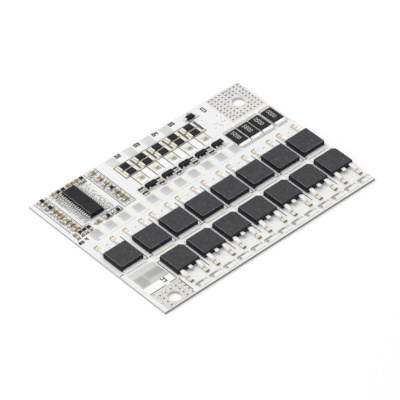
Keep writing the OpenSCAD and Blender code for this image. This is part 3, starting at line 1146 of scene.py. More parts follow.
@dataclass
class BoardSurface(Assembly):
    """The laminate, its tinned windows and its two screw holes.

    A swell is a node, its finish and slot, its corner radius and its crown. Vias
    are the grid's margins at the left, front, right and back, and its counts.
    """

    swells: tuple[tuple[str, Finish, str, float, float], ...] = (
        ("bus_windows", Finish.BUS_TIN, "bus_tin", 0.3, 0.10),
        ("edge_windows", Finish.EDGE_TIN, "edge_tin", 0.35, 0.16),
        ("tap_pads", Finish.TAP_TIN, "corner_tin", 0.12, 0.05),
        ("output_pad", Finish.OUTPUT_TIN, "output_tin", 0.15, 0.06),
    )
    hole_r: float = 1.55
    lining: float = 0.04
    lining_rise: float = 0.065
    via_r: float = 0.2
    via_clear: float = 2.2
    front_vias: tuple[Box, int, int] = ((1.5, 0.5, 0.3, 1.3), 5, 4)
    back_vias: tuple[Box, int, int] = ((0.55, 0.55, 0.55, 0.55), 9, 9)

    def build(self) -> None:
        """Dresses the board and lays its solder."""
        for node, finish in {
            "board": Finish.MASK, "front_corner_pad": Finish.CORNER_TIN,
            "back_corner_pad": Finish.CORNER_TIN, "bus_copper_bars": Finish.BARE_COPPER,
            "power_pads": Finish.PAD_TIN, "signal_pads": Finish.SIGNAL_TIN,
            "sense_pads": Finish.CREAM_PAD, "balance_pads": Finish.CREAM_PAD,
        }.items():
            self.shop.dress(node, finish)
        for swell in self.swells:
            self.swell(*swell)
        mounts = frame["record"]["mounts"]
        bores = {m["name"]: np.array(m["pos_m"][:2]) / MM for m in mounts if m["kind"] == "bore"}
        spots = np.array([[*middle, 0, 0] for middle in bores.values()])
        self.shop.piece("hole_plating", self.lining_ring().repeated(spots), Finish.TAP_TIN, "corner_tin")
        spots = np.concatenate([
            self.via_places("front_corner_pad", bores["front_hole"], *self.front_vias),
            self.via_places("back_corner_pad", bores["back_hole"], *self.back_vias),
        ])
        # Painted shade at each via.
        self.shop.piece("via_shade_spots", self.via_shade_disc().repeated(spots), Finish.VIA_SHADE, "corner_tin")

    def swell(self, node: str, finish: Finish, slot: str, corner: float, crown: float) -> None:
        """Replaces flat pads with ones that crown as molten solder does.

        Args:
            node: the CAD node of the flat pads.
            finish: the solder's finish.
            slot: the record's slot for that finish.
            corner: radius of the pads' corners.
            crown: rise at the middle.
        """
        pads = [crowned_pad(box[1] - box[0], crown, corner).moved(foot_of(box))
                for box in solid_boxes(node)]
        self.shop.piece(f"{node}_solder", joined(pads), finish, slot, [node])

    def lining_ring(self) -> Shell:
        """Plated lining of a screw hole: a thin ring section turned about the
        hole's axis, flush with the underside and the pad.

        Returns:
            The closed ring, its axis on Z.
        """
        a = np.linspace(0, 2 * math.pi, 64, endpoint=False)
        low, high = 0.005, PLAN.top + self.lining_rise
        section = np.array([[0, low], [0, high], [-self.lining, high - 0.02], [-self.lining, 0.02]])
        r = self.hole_r + section[:, :1]
        rings = np.stack([r * np.cos(a), r * np.sin(a), np.repeat(section[:, 1:], len(a), 1)], -1)
        below = np.arange(len(section) * len(a)).reshape(len(section), len(a))
        above = np.roll(below, -1, axis=0)
        quads = np.stack([below, np.roll(below, -1, axis=1), np.roll(above, -1, axis=1), above], -1)
        return Shell(rings.reshape(-1, 3), quads.reshape(-1, 4), np.zeros((0, 3), int))

    def via_places(self, node: str, hole: Array, margins: Box, cols: int, rows: int) -> Array:
        """Grid of vias over a corner pad, clear of its screw hole.

        Args:
            node: the pad's CAD node.
            hole: middle of the screw hole.
            margins: pad edge to the grid at the left, front, right and back.
            cols: holes across.
            rows: holes along.

        Returns:
            One row (x, y, z, turn) for each hole.
        """
        low, high = node_box(node)
        start = low[:2] + margins[:2]
        step = (high[:2] - margins[2:] - start) / [cols - 1, rows - 1]
        i, j = np.meshgrid(np.arange(cols), np.arange(rows), indexing="ij")
        xy = start + np.stack([i.ravel(), j.ravel()], -1) * step
        xy = xy[np.linalg.norm(xy - hole, axis=1) > self.via_clear]
        return np.array([[*place, PLAN.top, 0] for place in xy])

    def via_shade_disc(self) -> Shell:
        """Dark disc on the pad at each via: painted shade for the inside of the hole."""
        disc = rounded_outline(rectangle(2 * self.via_r, 2 * self.via_r), self.via_r * 0.98, 4)
        return lofted(disc, np.array([[0, 0.002], [0, 0.045], [0.04, 0.052]]))


# ---------------------------------------------------------------- transistors


RIM_THICK = 0.03
RIM_SUNK = 0.034


@dataclass
class PowerTransistors(Assembly):
    """Two rows of power transistors: drafted mouldings on stamped frames."""

    size: Triple = (6.5, 6.2, 1.5)
    part_z: float = 0.75
    draft: float = 0.14
    corner: float = 0.22
    chamfer: float = 0.8
    edge: float = 0.11
    rim: float = 0.12
    metal: float = 0.3
    lead_w: float = 0.9
    lead_pitch: float = 2.29
    lead_top: float = 0.95
    root: float = 0.25
    reach: float = 1.9
    foot: float = 0.5
    stub: float = 0.75
    tab: tuple[float, float] = (5.5, 1.05)
    tab_under: float = 1.6
    bead_w: float = 1.02
    bead_back: float = 0.36

    def build(self) -> None:
        """Makes a moulding and a frame for every transistor, then painted rim highlights and solder."""
        lead_frame = joined([self.tab_plate(), *self.leads(), self.cropped_lead()])
        for row in BODIES_IN_ROW:
            front = row == "front"
            turn = 180.0 if front else 0.0
            body, metal = self.moulding(front).turned(turn), lead_frame.turned(turn)
            for i, box in enumerate(transistor_boxes(row), 1):
                at = foot_of(box)
                self.shop.piece(f"{row}_moulding_{i}", body.moved(at), Finish.POWER_MOULDING,
                                "moulding", [f"{row}_transistor_body_{i}"], 50.0)
                self.shop.piece(f"{row}_leadframe_{i}", metal.moved(at), Finish.FRAME_METAL,
                                "frame_metal", [f"{row}_transistor_frame_{i}"])
        # Painted highlights along the top rims.
        self.shop.piece("moulding_highlight_lines", self.rims(), Finish.PAINTED_RIM_HIGHLIGHT, "moulding")
        self.shop.piece("lead_solder", self.beads(), Finish.BEAD_TIN, "pad_tin")

    def moulding(self, keyed: bool) -> Shell:
        """Body of one transistor, its tab end toward -Y. The outline narrows
        below and above the parting line and rounds over into a flat top face.

        Args:
            keyed: whether the corner at -X beside the tab is cut off.

        Returns:
            The body, standing on the plane.
        """
        w, l, h = self.size
        corners = rectangle(w, l)
        if keyed:
            c = self.chamfer
            corners = np.concatenate([[corners[0] + [0, c], corners[0] + [c, 0]], corners[1:]])
        outline = rounded_outline(corners, self.corner, 4)
        top = rounded_edge(self.draft, h, self.edge, 5)
        face = np.array([[top[-1, 0] + 0.35, h]])
        foot = np.array([
            [self.draft / 2 + 0.06, 0.0], [self.draft / 2, 0.06], [0.01, self.part_z - 0.03],
            [0.0, self.part_z - 0.02], [0.0, self.part_z + 0.02], [0.02, self.part_z + 0.03]])
        return lofted(outline, np.concatenate([foot, top, face]))

    def rims(self) -> Shell:
        """Painted highlights: light lines along the left rim of each top face, and
        along the front rim where no cut corner lies behind it.

        Returns:
            One shell of all lines.
        """
        inset, gap = self.draft + self.edge * 0.3, 0.2
        x, y = self.size[0] / 2 - inset, self.size[1] / 2 - inset
        left, front = [-x, gap - y, -x, y - gap], [gap - x, -y, x - gap, -y]
        rise = np.array([0, 0, self.size[2] - RIM_SUNK])
        lines = {"rear": np.array([left, front]), "front": np.array([left])}
        return joined([
            stroke_bars(lines[row], self.rim, 0.0, RIM_THICK).moved(foot_of(box) + rise)
            for row in BODIES_IN_ROW for box in transistor_boxes(row)])

    def tab_plate(self) -> Shell:
        """Solder tab: a stamped plate with rounded rims, partly under the body.

        Returns:
            The plate, for a body that stands at the origin.
        """
        w, reach = self.tab
        plate = rounded_block([w, reach + self.tab_under, self.metal], 0.05, 0.15)
        return plate.moved([0, (self.tab_under - self.size[1] - reach) / 2, 0])

    def leads(self) -> list[Shell]:
        """The two formed leads.

        Returns:
            One shell for each lead.
        """
        lead = GullLead(self.reach, self.lead_top, self.metal, self.lead_w, bend=0.1, foot=self.foot,
                        edge=0.07, root=self.root, steps=3).shell()
        return [lead.moved([s * self.lead_pitch, self.size[1] / 2, 0]) for s in (-1, 1)]

    def cropped_lead(self) -> Shell:
        """Middle lead, cut off short of the board, with a ball of tin at its end.

        Returns:
            Lead and ball in one shell.
        """
        y = np.array([-self.root, 0.0, 0.25, self.stub])
        mid = self.lead_top - self.metal / 2
        strip = swept_strip(np.stack([y, np.full(len(y), mid)], -1), self.lead_w, self.metal, 0.12, 5)
        turn = np.linspace(-math.pi / 2, math.pi / 2, 9)[1:-1]
        ball = lofted(rounded_outline(rectangle(self.lead_w + 0.14, self.stub), 0.3, 5),
                      np.stack([0.28 * (1 - np.cos(turn)), 0.21 * np.sin(turn)], -1))
        ball = ball.moved([0, self.stub / 2 + 0.1, mid])
        return joined([strip, ball]).moved([0, self.size[1] / 2, 0])

    def beads(self) -> Shell:
        """Solder over the foot of each formed lead: a side view that climbs the
        leg and slopes down to the pad's end, carried along X and rounded at
        both sides.

        Returns:
            One shell of all beads.
        """
        side = np.array([
            [-1.0, 0.3], [-0.6, 0.0], [0.6, 0.0], [0.6, 0.10], [0.5, 0.50],
            [0.2, 0.74], [-0.6, 0.96], [-1.2, 1.0], [-1.25, 0.7]])
        radii = [0.1, 0.02, 0.02, 0.03, 0.10, 0.12, 0.1, 0.03, 0.03]
        half = self.bead_w / 2
        start = np.array([[0.06, -half], [0.02, -half + 0.02], [0.0, -half + 0.06]])
        along = np.concatenate([start, start[::-1] * [1, -1]])
        bead = lofted(rounded_outline(side, radii, 4), along).tipped()
        far = self.size[1] / 2 + self.reach - self.bead_back
        places = []
        for row, way in (("rear", 1), ("front", -1)):
            for box in transistor_boxes(row):
                x, y, z = foot_of(box)
                places += [[x + s * self.lead_pitch, y + way * far, z, 90.0 - 90.0 * way] for s in (-1, 1)]
        return bead.repeated(np.array(places))


# ---------------------------------------------------------------- chip parts


@dataclass
class ChipParts(Assembly):
    """Chip resistors and capacitors: a ceramic with two wrapped metal ends."""

    wrap: float = 0.03
    full_size: float = 1.2
    short_end: float = 0.25

    def build(self) -> None:
        """Makes each kind of chip part where its ceramic stands."""
        self.kind("gate_resistor", "gate_resistor_bodies", ["gate_resistor_ends"], 0.24,
                  (Finish.GATE_CERAMIC, "gate_ceramic"), (Finish.GATE_METAL, "chip_metal"))
        self.kind("balance_resistor", "balance_resistor_bodies", ["balance_resistor_ends"], 0.5,
                  (Finish.BLACK_GLAZE, "black_glaze"), (Finish.CREAM_ENDS, "cream_ends"))
        self.kind("capacitor", "capacitor_bodies", [], 0.35,
                  (Finish.TAN_CERAMIC, "tan_ceramic"), (Finish.CHIP_METAL, "chip_metal"))
        self.kind("small_resistor", "resistor_bodies", ["small_chip_ends"], 0.35,
                  (Finish.BLACK_GLAZE, "black_glaze"), (Finish.CHIP_METAL, "chip_metal"))

    def kind(self, name: str, node: str, ends: Sequence[str], end_l: float,
             body: tuple[Finish, str], metal: tuple[Finish, str]) -> None:
        """Builds one kind of chip part at every ceramic of a CAD node.

        Args:
            name: start of the pieces' names.
            node: the CAD node of the ceramics.
            ends: CAD nodes of metal ends that this kind stands for.
            end_l: length of an end on a full-size chip.
            body: finish and slot of the ceramic.
            metal: finish and slot of the ends.
        """
        boxes = solid_boxes(node)
        span = boxes[:, 1] - boxes[:, 0]
        turn = 90.0 * (span[:, 1] > span[:, 0])
        middle = boxes.mean(1)
        length = np.round(span[:, :2].max(1) + 2 * self.wrap, 2)
        ceramics, caps = [], []
        for value in np.unique(length):
            chosen = length == value
            width = float(span[chosen, :2].min(1)[0] + 2 * self.wrap)
            height = float(span[chosen, 2][0] + 2 * self.wrap)
            low = boxes[chosen, 0, 2] - self.wrap
            places = np.stack([middle[chosen, 0], middle[chosen, 1], low, turn[chosen]], -1)
            end = end_l if value > self.full_size else self.short_end
            ceramic, cap = self.chip((float(value), width, height), end)
            ceramics.append(ceramic.repeated(places))
            caps.append(cap.repeated(places))
        self.shop.piece(f"{name}_ceramics", joined(ceramics), *body, [node])
        self.shop.piece(f"{name}_caps", joined(caps), *metal, ends)

    def chip(self, size: Triple, end_l: float) -> tuple[Shell, Shell]:
        """Ceramic and metal ends of one chip part, lengthwise along X.

        Args:
            size: length, width and height.
            end_l: length of each end.

        Returns:
            The ceramic, and both ends in one shell.
        """
        l, w, h = size
        ceramic = rounded_block([side - 2 * self.wrap for side in size], 0.05, 0.05)
        cap = rounded_block([end_l, w, h], 0.06, 0.08)
        ends = [cap.moved([s * (l - end_l) / 2, 0, 0]) for s in (-1, 1)]
        return ceramic.moved([0, 0, self.wrap]), joined(ends)


@dataclass
class SenseBank(Assembly):
    """Four wide sense resistors with folded metal ends and plain numbers."""

    numbers: tuple[str, ...] = ("0025", "0035", "0052", "0020")
    digit: Triple = (0.95, 0.46, 0.24)
    line: float = 0.17
    ink: float = 0.012
    sunk: float = 0.002
    behind: float = 0.35

    def build(self) -> None:
        """Makes the coatings, ends and plain printed numbers."""
        marks = []
        for i, text in enumerate(self.numbers, 1):
            node = f"sense_resistor_body_{i}"
            low, high = box = node_box(node)
            coating = rounded_block(high - low, 0.09, 0.14, 4).moved(foot_of(box))
            self.shop.piece(f"sense_coating_{i}", coating, Finish.SENSE_COATING, "sense_coating", [node])
            marks.append(self.mark(text).moved([*foot_of(box)[:2], high[2] - self.sunk]))
        node = "sense_resistor_ends"
        middle = node_box(node).mean(0)[1]
        ends: dict[bool, list[Shell]] = {False: [], True: []}
        for box in solid_boxes(node):
            cap = rounded_block(box[1] - box[0], 0.12, 0.1, 4).moved(foot_of(box))
            ends[bool(box[0, 1] > middle)].append(cap)
        self.shop.piece("sense_front_caps", joined(ends[False]), Finish.SENSE_METAL, "sense_metal", [node])
        # The back ends take the darker finish: painted shade.
        self.shop.piece("sense_back_caps", joined(ends[True]), Finish.SENSE_BACK, "sense_metal")
        self.shop.piece("sense_marks", joined(marks), Finish.MARK_INK, "white_mask")

    def mark(self, text: str) -> Shell:
        """A plain number that runs along Y, a little behind the middle."""
        bars = stroke_bars(np.array(digit_bars(text, *self.digit)), self.line, 0.0, self.ink)
        return bars.turned(90).moved([0, self.behind, 0])


@dataclass(frozen=True)
class MouldedChip:
    """A small moulded body."""

    size: Triple
    part_z: float
    draft: float
    edge: float = 0.05
    corner: float = 0.08

    def shell(self) -> Shell:
        """The body, narrowing below and above its parting line.

        Returns:
            The body, standing on the plane.
        """
        outline = rounded_outline(rectangle(self.size[0], self.size[1]), self.corner, 3)
        top = rounded_edge(self.draft, self.size[2], self.edge, 4)
        foot = np.array([
            [self.draft / 2, 0.0], [0.01, self.part_z - 0.02], [0.0, self.part_z - 0.01],
            [0.0, self.part_z + 0.01], [0.02, self.part_z + 0.03]])
        face = np.array([[top[-1, 0] + 0.15, self.size[2]]])
        return lofted(outline, np.concatenate([foot, top, face]))


@dataclass
class MonitorChip(Assembly):
    """Cell monitor chip with a row of pins along each long side."""

    body: MouldedChip = MouldedChip((3.8, 10.3, 1.1), part_z=0.55, draft=0.2, edge=0.08)
    pins: int = 16
    pitch: float = 0.635
    pin: GullLead = GullLead(reach=1.2, top=0.72, thick=0.14, width=0.26, bend=0.09, foot=0.45, edge=0.04)
    rim: float = 0.18
    rim_short: float = 0.4

    def build(self) -> None:
        """Makes the body, a painted highlight along its top's left rim, and its pins."""
        box = node_box("monitor_chip_body")
        x, y, z = foot_of(box)
        wide, long, _ = self.body.size
        self.shop.piece("monitor_moulding", self.body.shell().moved([x, y, z]), Finish.CHIP_MOULDING,
                        "chip_moulding", ["monitor_chip_body"], 50.0)
        # Painted highlight: a light line along the left rim of the top face.
        side, end = wide / 2 - self.body.draft, long / 2 - self.rim_short
        rim = stroke_bars(np.array([[-side, -end, -side, end]]), self.rim, 0.0, RIM_THICK)
        self.shop.piece("monitor_highlight_line", rim.moved([x, y, box[1, 2] - RIM_SUNK]), Finish.PAINTED_RIM_HIGHLIGHT,
                        "chip_moulding")
        base = node_box("monitor_chip_pins")[0, 2]
        along = (np.arange(self.pins) - (self.pins - 1) / 2) * self.pitch
        places = [[x + s * wide / 2, y + step, base, -90.0 * s] for s in (-1, 1) for step in along]
        self.shop.piece("monitor_pins", self.pin.shell().repeated(np.array(places)), Finish.PIN_METAL,
                        "pin_metal", ["monitor_chip_pins"])


@dataclass
class BalancingSwitches(Assembly):
    """Small three-lead transistors and the two-lead zener beside them."""

    switch: MouldedChip = MouldedChip((2.9, 1.3, 0.75), part_z=0.375, draft=0.1, edge=0.03, corner=0.05)
    zener: MouldedChip = MouldedChip((1.95, 1.25, 0.72), part_z=0.36, draft=0.1, edge=0.06, corner=0.1)
    lead: GullLead = GullLead(reach=0.75, top=0.5, thick=0.13, width=0.42)
    wide_lead: GullLead = GullLead(reach=0.8, top=0.5, thick=0.13, width=0.6)
    pitch: float = 0.95
    drop: float = 0.05

    def build(self) -> None:
        """Makes bodies and leads at the CAD bodies' places."""
        bodies, leads = [], []
        back = self.lead.shell()
        front = back.turned(180)
        half = self.switch.size[1] / 2
        for box in solid_boxes("switch_transistor_bodies"):
            x, y, z = foot_of(box)
            bodies.append(self.switch.shell().moved([x, y, z]))
            leads.append(back.moved([x, y + half, z - self.drop]))
            leads += [front.moved([x + s * self.pitch, y - half, z - self.drop]) for s in (-1, 1)]
        self.shop.piece("switch_mouldings", joined(bodies), Finish.SMALL_MOULDING, "chip_moulding",
                        ["switch_transistor_bodies"], 50.0)
        self.shop.piece("switch_leads", joined(leads), Finish.PIN_METAL, "pin_metal",
                        ["switch_transistor_leads"])
        x, y, z = foot_of(node_box("zener_body"))
        self.shop.piece("zener_moulding", self.zener.shell().moved([x, y, z]), Finish.SMALL_MOULDING,
                        "chip_moulding", ["zener_body"], 50.0)
        half = self.zener.size[0] / 2
        ends = [self.wide_lead.shell().turned(-90 * s).moved([x + s * half, y, z - self.drop])
                for s in (-1, 1)]
        self.shop.piece("zener_end_leads", joined(ends), Finish.PIN_METAL, "pin_metal", ["zener_leads"])


# ---------------------------------------------------------------- silkscreen


@dataclass
class Silkscreen(Assembly):
    """Printed outlines, blocks, plain numbers and dark smudges in the cell fields.

    Places are distances from the board's front left corner. A run is the front
    and back end of lines along Y. A dashed line is given by its two ends along
    X, its place along Y and, where they differ, its count and share of dashes.
    """

    line: float = 0.19
    bank_line: float = 0.15
    number_line: float = 0.25
    small_line: float = 0.11
    cell_line: float = 0.2
    smudge_width: float = 0.18
    ink: float = 0.012
    number_ink: float = 0.034
    smudge_thick: float = 0.074
    block_ink: float = 0.016
    wash_ink: float = 0.004
    dash: float = 0.36
    least_chip: float = 0.65
    rear_run: tuple[float, float] = (15.05, 24.1)
    front_run: tuple[float, float] = (4.3, 12.6)
    gap_run: tuple[float, float] = (13.9, 15.6)
    last_column: float = 62.6
    bank_back: float = 44.8
    bank_sides: tuple[tuple[float, float], ...] = ((1.15, 32.2), (4.5, 32.2), (15.65, 30.8), (18.95, 30.8))
    bank_dashes: tuple[Triple, ...] = (
        (15.7, 19.0, 30.75), (9.7, 12.0, 30.2), (12.4, 14.8, 30.2), (5.9, 7.6, 43.2),
        (12.0, 15.2, 43.0), (9.7, 14.8, 31.9), (2.1, 6.3, 31.95))
    bank_lines: tuple[Box, ...] = (
        (9.65, 30.3, 9.65, 31.9), (14.85, 30.3, 14.85, 31.9), (12.15, 30.4, 12.15, 31.8),
        (3.95, 27.0, 3.95, 28.8), (4.3, 26.8, 4.4, 27.4), (4.35, 28.2, 4.5, 28.9),
        (14.5, 41.4, 15.0, 41.4), (46.4, 44.3, 47.5, 44.3), (46.9, 44.5, 46.9, 44.7),
        (45.0, 42.05, 48.4, 42.05), (44.85, 42.3, 44.85, 43.5))
    sense_front: float = 27.4
    sense_back: float = 33.2
    sense_sides: tuple[tuple[float, float], ...] = ((48.1, 33.2), (51.3, 33.0), (54.85, 33.0))
    sense_dots: tuple[tuple[float, float], ...] = (
        (51.5, 38.3), (48.3, 36.4), (49.6, 37.4), (49.8, 36.6), (50.0, 36.0), (50.9, 37.1),
        (51.6, 37.0), (47.6, 40.5), (51.3, 39.4), (52.9, 35.6), (48.9, 37.6))
    output_dashes: tuple[tuple[float, float, float, int, float], ...] = (
        (2.0, 7.6, 14.25, 15, 0.6), (0.15, 1.2, 14.7, 3, 0.6),
        (1.15, 5.7, 6.1, 13, 0.7), (7.0, 8.8, 6.15, 5, 0.7))
    output_block: Box = (1.2, 6.35, 8.75, 8.35)
    cells: int = 5
    cell_left: float = 23.15
    cell_pitch: float = 4.8
    cell_width: float = 2.8
    cell_run: tuple[float, float] = (33.5, 37.2)
    cell_block_run: tuple[float, float] = (33.8, 36.9)
    smudge_places: tuple[Box, ...] = ((0.9, 34.85, 1.2, 35.2), (1.5, 34.9, 1.9, 35.4), (1.1, 35.5, 1.6, 35.4))
    balance: Box = (22.0, 37.3, 46.1, 41.75)
    balance_gaps: tuple[float, ...] = (26.95, 31.75, 36.6, 41.4, 45.6)
    gap_bars: tuple[float, ...] = (-0.42, -0.2, 0.02, 0.24, 0.44)
    number_places: tuple[tuple[str, float, float, float, float], ...] = (
        ("02", 25.45, 44.25, 0.8, 0.45), ("03", 31.15, 44.25, 0.8, 0.45), ("04", 36.6, 44.2, 0.8, 0.45),
        ("05", 41.6, 44.2, 0.8, 0.45), ("0", 50.4, 42.95, 1.5, 0.6), ("9", 6.45, 7.85, 1.6, 0.8),
        ("20", 0.95, 28.35, 0.62, 0.36), ("4", 2.55, 28.5, 0.75, 0.4))

    def build(self) -> None:
        """Prints black lines, white blocks and numbers."""
        lines = joined([
            PLAN.ink(self.column_lines(), self.line, self.ink),
            PLAN.ink(self.bank_outlines(), self.bank_line, self.ink),
            PLAN.ink(self.output_lines(), self.line, self.ink),
        ])
        self.shop.piece("silk_lines", lines, Finish.BLACK_INK, "black_glaze")
        for name, rows, width, thick, finish in (
            ("silk_numbers", self.numbers(), self.number_line, self.number_ink, Finish.BLACK_INK),
            ("silk_references", self.references(), self.small_line, self.ink, Finish.BLACK_INK),
            ("silk_cell_lines", self.cell_outlines(), self.cell_line, self.ink, Finish.BROWN_INK),
            ("silk_sense_lines", self.sense_outlines(), self.cell_line, self.ink, Finish.GREY_INK),
        ):
            self.shop.piece(name, PLAN.ink(rows, width, thick), finish, "black_glaze")
        self.shop.piece("silk_blocks", self.blocks(), Finish.WHITE_INK, "white_mask")
        x0, y0, x1, y1 = self.balance
        washed = self.block(x0 + 0.05, y0 + 0.05, x1 - 0.05, y1 - 0.05, self.wash_ink)
        self.shop.piece("washed_mask", washed, Finish.CREAM_MASK, "cream_pad")
        # Dark brown smudges in the cell fields.
        flux = PLAN.ink(self.smudge_rows(), self.smudge_width, self.smudge_thick)
        self.shop.piece("dark_cell_smudges", flux, Finish.DARK_SMUDGE, "cream_pad")

    def block(self, x0: float, y0: float, x1: float, y1: float, thick: float) -> Shell:
        """Filled block of ink.

        Args:
            x0: left edge.
            y0: front edge.
            x1: right edge.
            y1: back edge.
            thick: ink thickness.

        Returns:
            The block, on the board's top face.
        """
        outline = rounded_outline(rectangle(x1 - x0, y1 - y0), 0.05, 2)
        profile = np.array([[0, 0.0], [0, thick], [0.01, thick + 0.004]])
        return lofted(outline, profile).moved(PLAN.spot((x0 + x1) / 2, (y0 + y1) / 2))

    def blocks(self) -> Shell:
        """White blocks between the cell fields, at the output and between the rear bodies.

        Returns:
            One shell of all blocks.
        """
        front, back = self.cell_block_run
        boxes = [(self.cell_x(j) + self.cell_width + 0.2, front, self.cell_x(j + 1) - 0.2, back)
                 for j in range(self.cells - 1)]
        boxes.append(self.output_block)
        boxes += [(right + 0.35, 12.9, right + 1.35, 14.2) for _, right in self.body_edges("rear")[:-1]]
        return joined([self.block(*box, self.block_ink) for box in boxes])

    def cell_x(self, j: int) -> float:
        """Left edge of a cell field."""
        return self.cell_left + self.cell_pitch * j

    def body_edges(self, row: str) -> list[tuple[float, float]]:
        """Left and right edges of each body of a row, from the board's corner."""
        return [tuple(box[:, 0] - PLAN.corner[0]) for box in transistor_boxes(row)]

    def column_lines(self) -> Rows:
        """Lines beside the bodies of both rows.

        Returns:
            One row (x0, y0, x1, y1) for each bar.
        """
        rows: Rows = []
        front, back = self.rear_run
        rear = self.body_edges("rear")
        for (_, right), (left, _) in zip(rear[:-1], rear[1:]):
            x = right + 0.8
            rows += [[x, front, x, back], [x - 0.55, front, x, front]]
            rows += dashes(x + 0.35, 15.0, left + 0.6, 15.0, 4, 0.55)
            rows += dashes(left + 0.85, self.gap_run[0], left + 0.85, self.gap_run[1], 5, 0.6)
        front, back = self.front_run
        for _, right in self.body_edges("front"):
            x = right + 0.62
            rows += [[x, front, x, back], [x, back, x + 0.9, back]]
        return [row for row in rows if max(row[0], row[2]) < self.last_column]

    def bank_outlines(self) -> Rows:
        """Outlines round the banks of small chips and the marks at their ends.

        Returns:
            One row (x0, y0, x1, y1) for each bar.
        """
        rows: Rows = []
        for x, front in self.bank_sides:
            rows += dashes(x, front, x, self.bank_back, 34, 0.62)
        for x0, x1, y in self.bank_dashes:
            rows += dashes(x0, y, x1, y, int((x1 - x0) / self.dash), 0.6)
        return rows + [list(row) for row in self.bank_lines]

    def sense_outlines(self) -> Rows:
        """Grey outlines and hatching of the sense bank, and small dots.

        Returns:
            One row (x0, y0, x1, y1) for each bar.
        """
        front, back = self.sense_front, self.sense_back
        rows = [[x, front, x, end] for x, end in self.sense_sides]
        rows += dashes(62.4, front, 62.4, back + 0.8, 18, 0.6)
        for x0, x1, count in ((48.3, 58.2, 26), (59.0, 62.0, 8)):
            rows += dashes(x0, front - 0.25, x1, front - 0.25, count, 0.8)
        for x0, x1, step in ((58.25, 58.9, 0.33), (54.95, 55.1, 0.4)):
            rows += [[x0, y, x1, y] for y in np.arange(front + 0.2, back, step)]
        rows += [[x - 0.06, y, x + 0.06, y] for x, y in self.sense_dots]
        middles = [(left + right) / 2 for left, right in self.body_edges("rear")]
        return rows + [[x + 0.1, 24.1, x + 0.4, 24.2] for x in middles]

    def output_lines(self) -> Rows:
        """Lines round the output pad and the front corner pad.

        Returns:
            One row (x0, y0, x1, y1) for each bar.
        """
        rows: Rows = []
        for x0, x1, y, count, share in self.output_dashes:
            rows += dashes(x0, y, x1, y, count, share)
        rows += dashes(9.15, 1.3, 9.15, 6.0, 13, 0.62)
        return rows + [[1.7, 14.1, 1.7, 15.2], [8.95, 6.3, 8.95, 12.6], [8.95, 12.6, 9.85, 12.6]]

    def cell_outlines(self) -> Rows:
        """Outlines of the cell fields, of the balancing block and of its gaps.

        Returns:
            One row (x0, y0, x1, y1) for each bar.
        """
        rows: Rows = []
        front, back = self.cell_run
        for j in range(self.cells):
            left, right = self.cell_x(j), self.cell_x(j) + self.cell_width
            rows += dashes(left, front, left, back, 10, 0.75)
            rows += dashes(right, front + 0.6, right, back, 9, 0.75)
        x0, y0, x1, y1 = self.balance
        for middle in self.balance_gaps:
            for step, offset in enumerate(self.gap_bars):
                x = middle + offset
                rows += dashes(x, y0 + 0.45 + 0.13 * step, x, y1 - 0.25, 7 + step % 3, 0.66)
        for y in (y0, y1):
            rows += dashes(x0, y, x1, y, 58, 0.6)
        for x in (x0, x1):
            rows += dashes(x, y0, x, y1, 11, 0.6)
        return rows

    def smudge_rows(self) -> Rows:
        """Dark smudges in the cell fields, as short strokes."""
        return [[self.cell_x(j) + x0, y0, self.cell_x(j) + x1, y1]
                for j in range(self.cells) for x0, y0, x1, y1 in self.smudge_places]

    def references(self) -> Rows:
        """Small plain numbers and short strokes beside the larger small chips.

        Returns:
            One row (x0, y0, x1, y1) for each bar.
        """
        rows: Rows = []
        for node in ("capacitor_bodies", "resistor_bodies"):
            for i, box in enumerate(solid_boxes(node)):
                x, y = foot_of(box)[:2] - PLAN.corner
                wide, tall = (box[1] - box[0])[:2]
                if min(wide, tall) < self.least_chip:
                    continue
                if tall > wide:
                    strokes = [[0.6, 0.28 * k - 0.5, 0.6, 0.28 * k - 0.4] for k in range(4)]
                    place = (x - 0.1, y - 1.15)
                else:
                    strokes = [[-1.15, -0.2, -1.15, 0.25], [1.2, -0.25, 1.2, 0.1], [-0.5, 0.58, 0.4, 0.58]]
                    place = (x + 0.1, y + 0.62)
                text = "23456906"[i % 8] + "5203496"[i % 7]
                rows += placed(strokes, x, y) + placed(digit_bars(text, 0.26, 0.34, 0.22), *place)
        return [row for row in rows if 0.5 < min(row[1], row[3]) and max(row[1], row[3]) < 44.7]

    def numbers(self) -> Rows:
        """Plain numbers beside the terminals, the output's with a point after it.

        Returns:
            One row (x0, y0, x1, y1) for each bar.
        """
        rows: Rows = []
        for text, x, y, height, width in self.number_places:
            rows += placed(digit_bars(text, height, width, 0.36), x, y)
        return rows + [[6.4, 7.1, 6.45, 7.1]]


# ---------------------------------------------------------------- studio


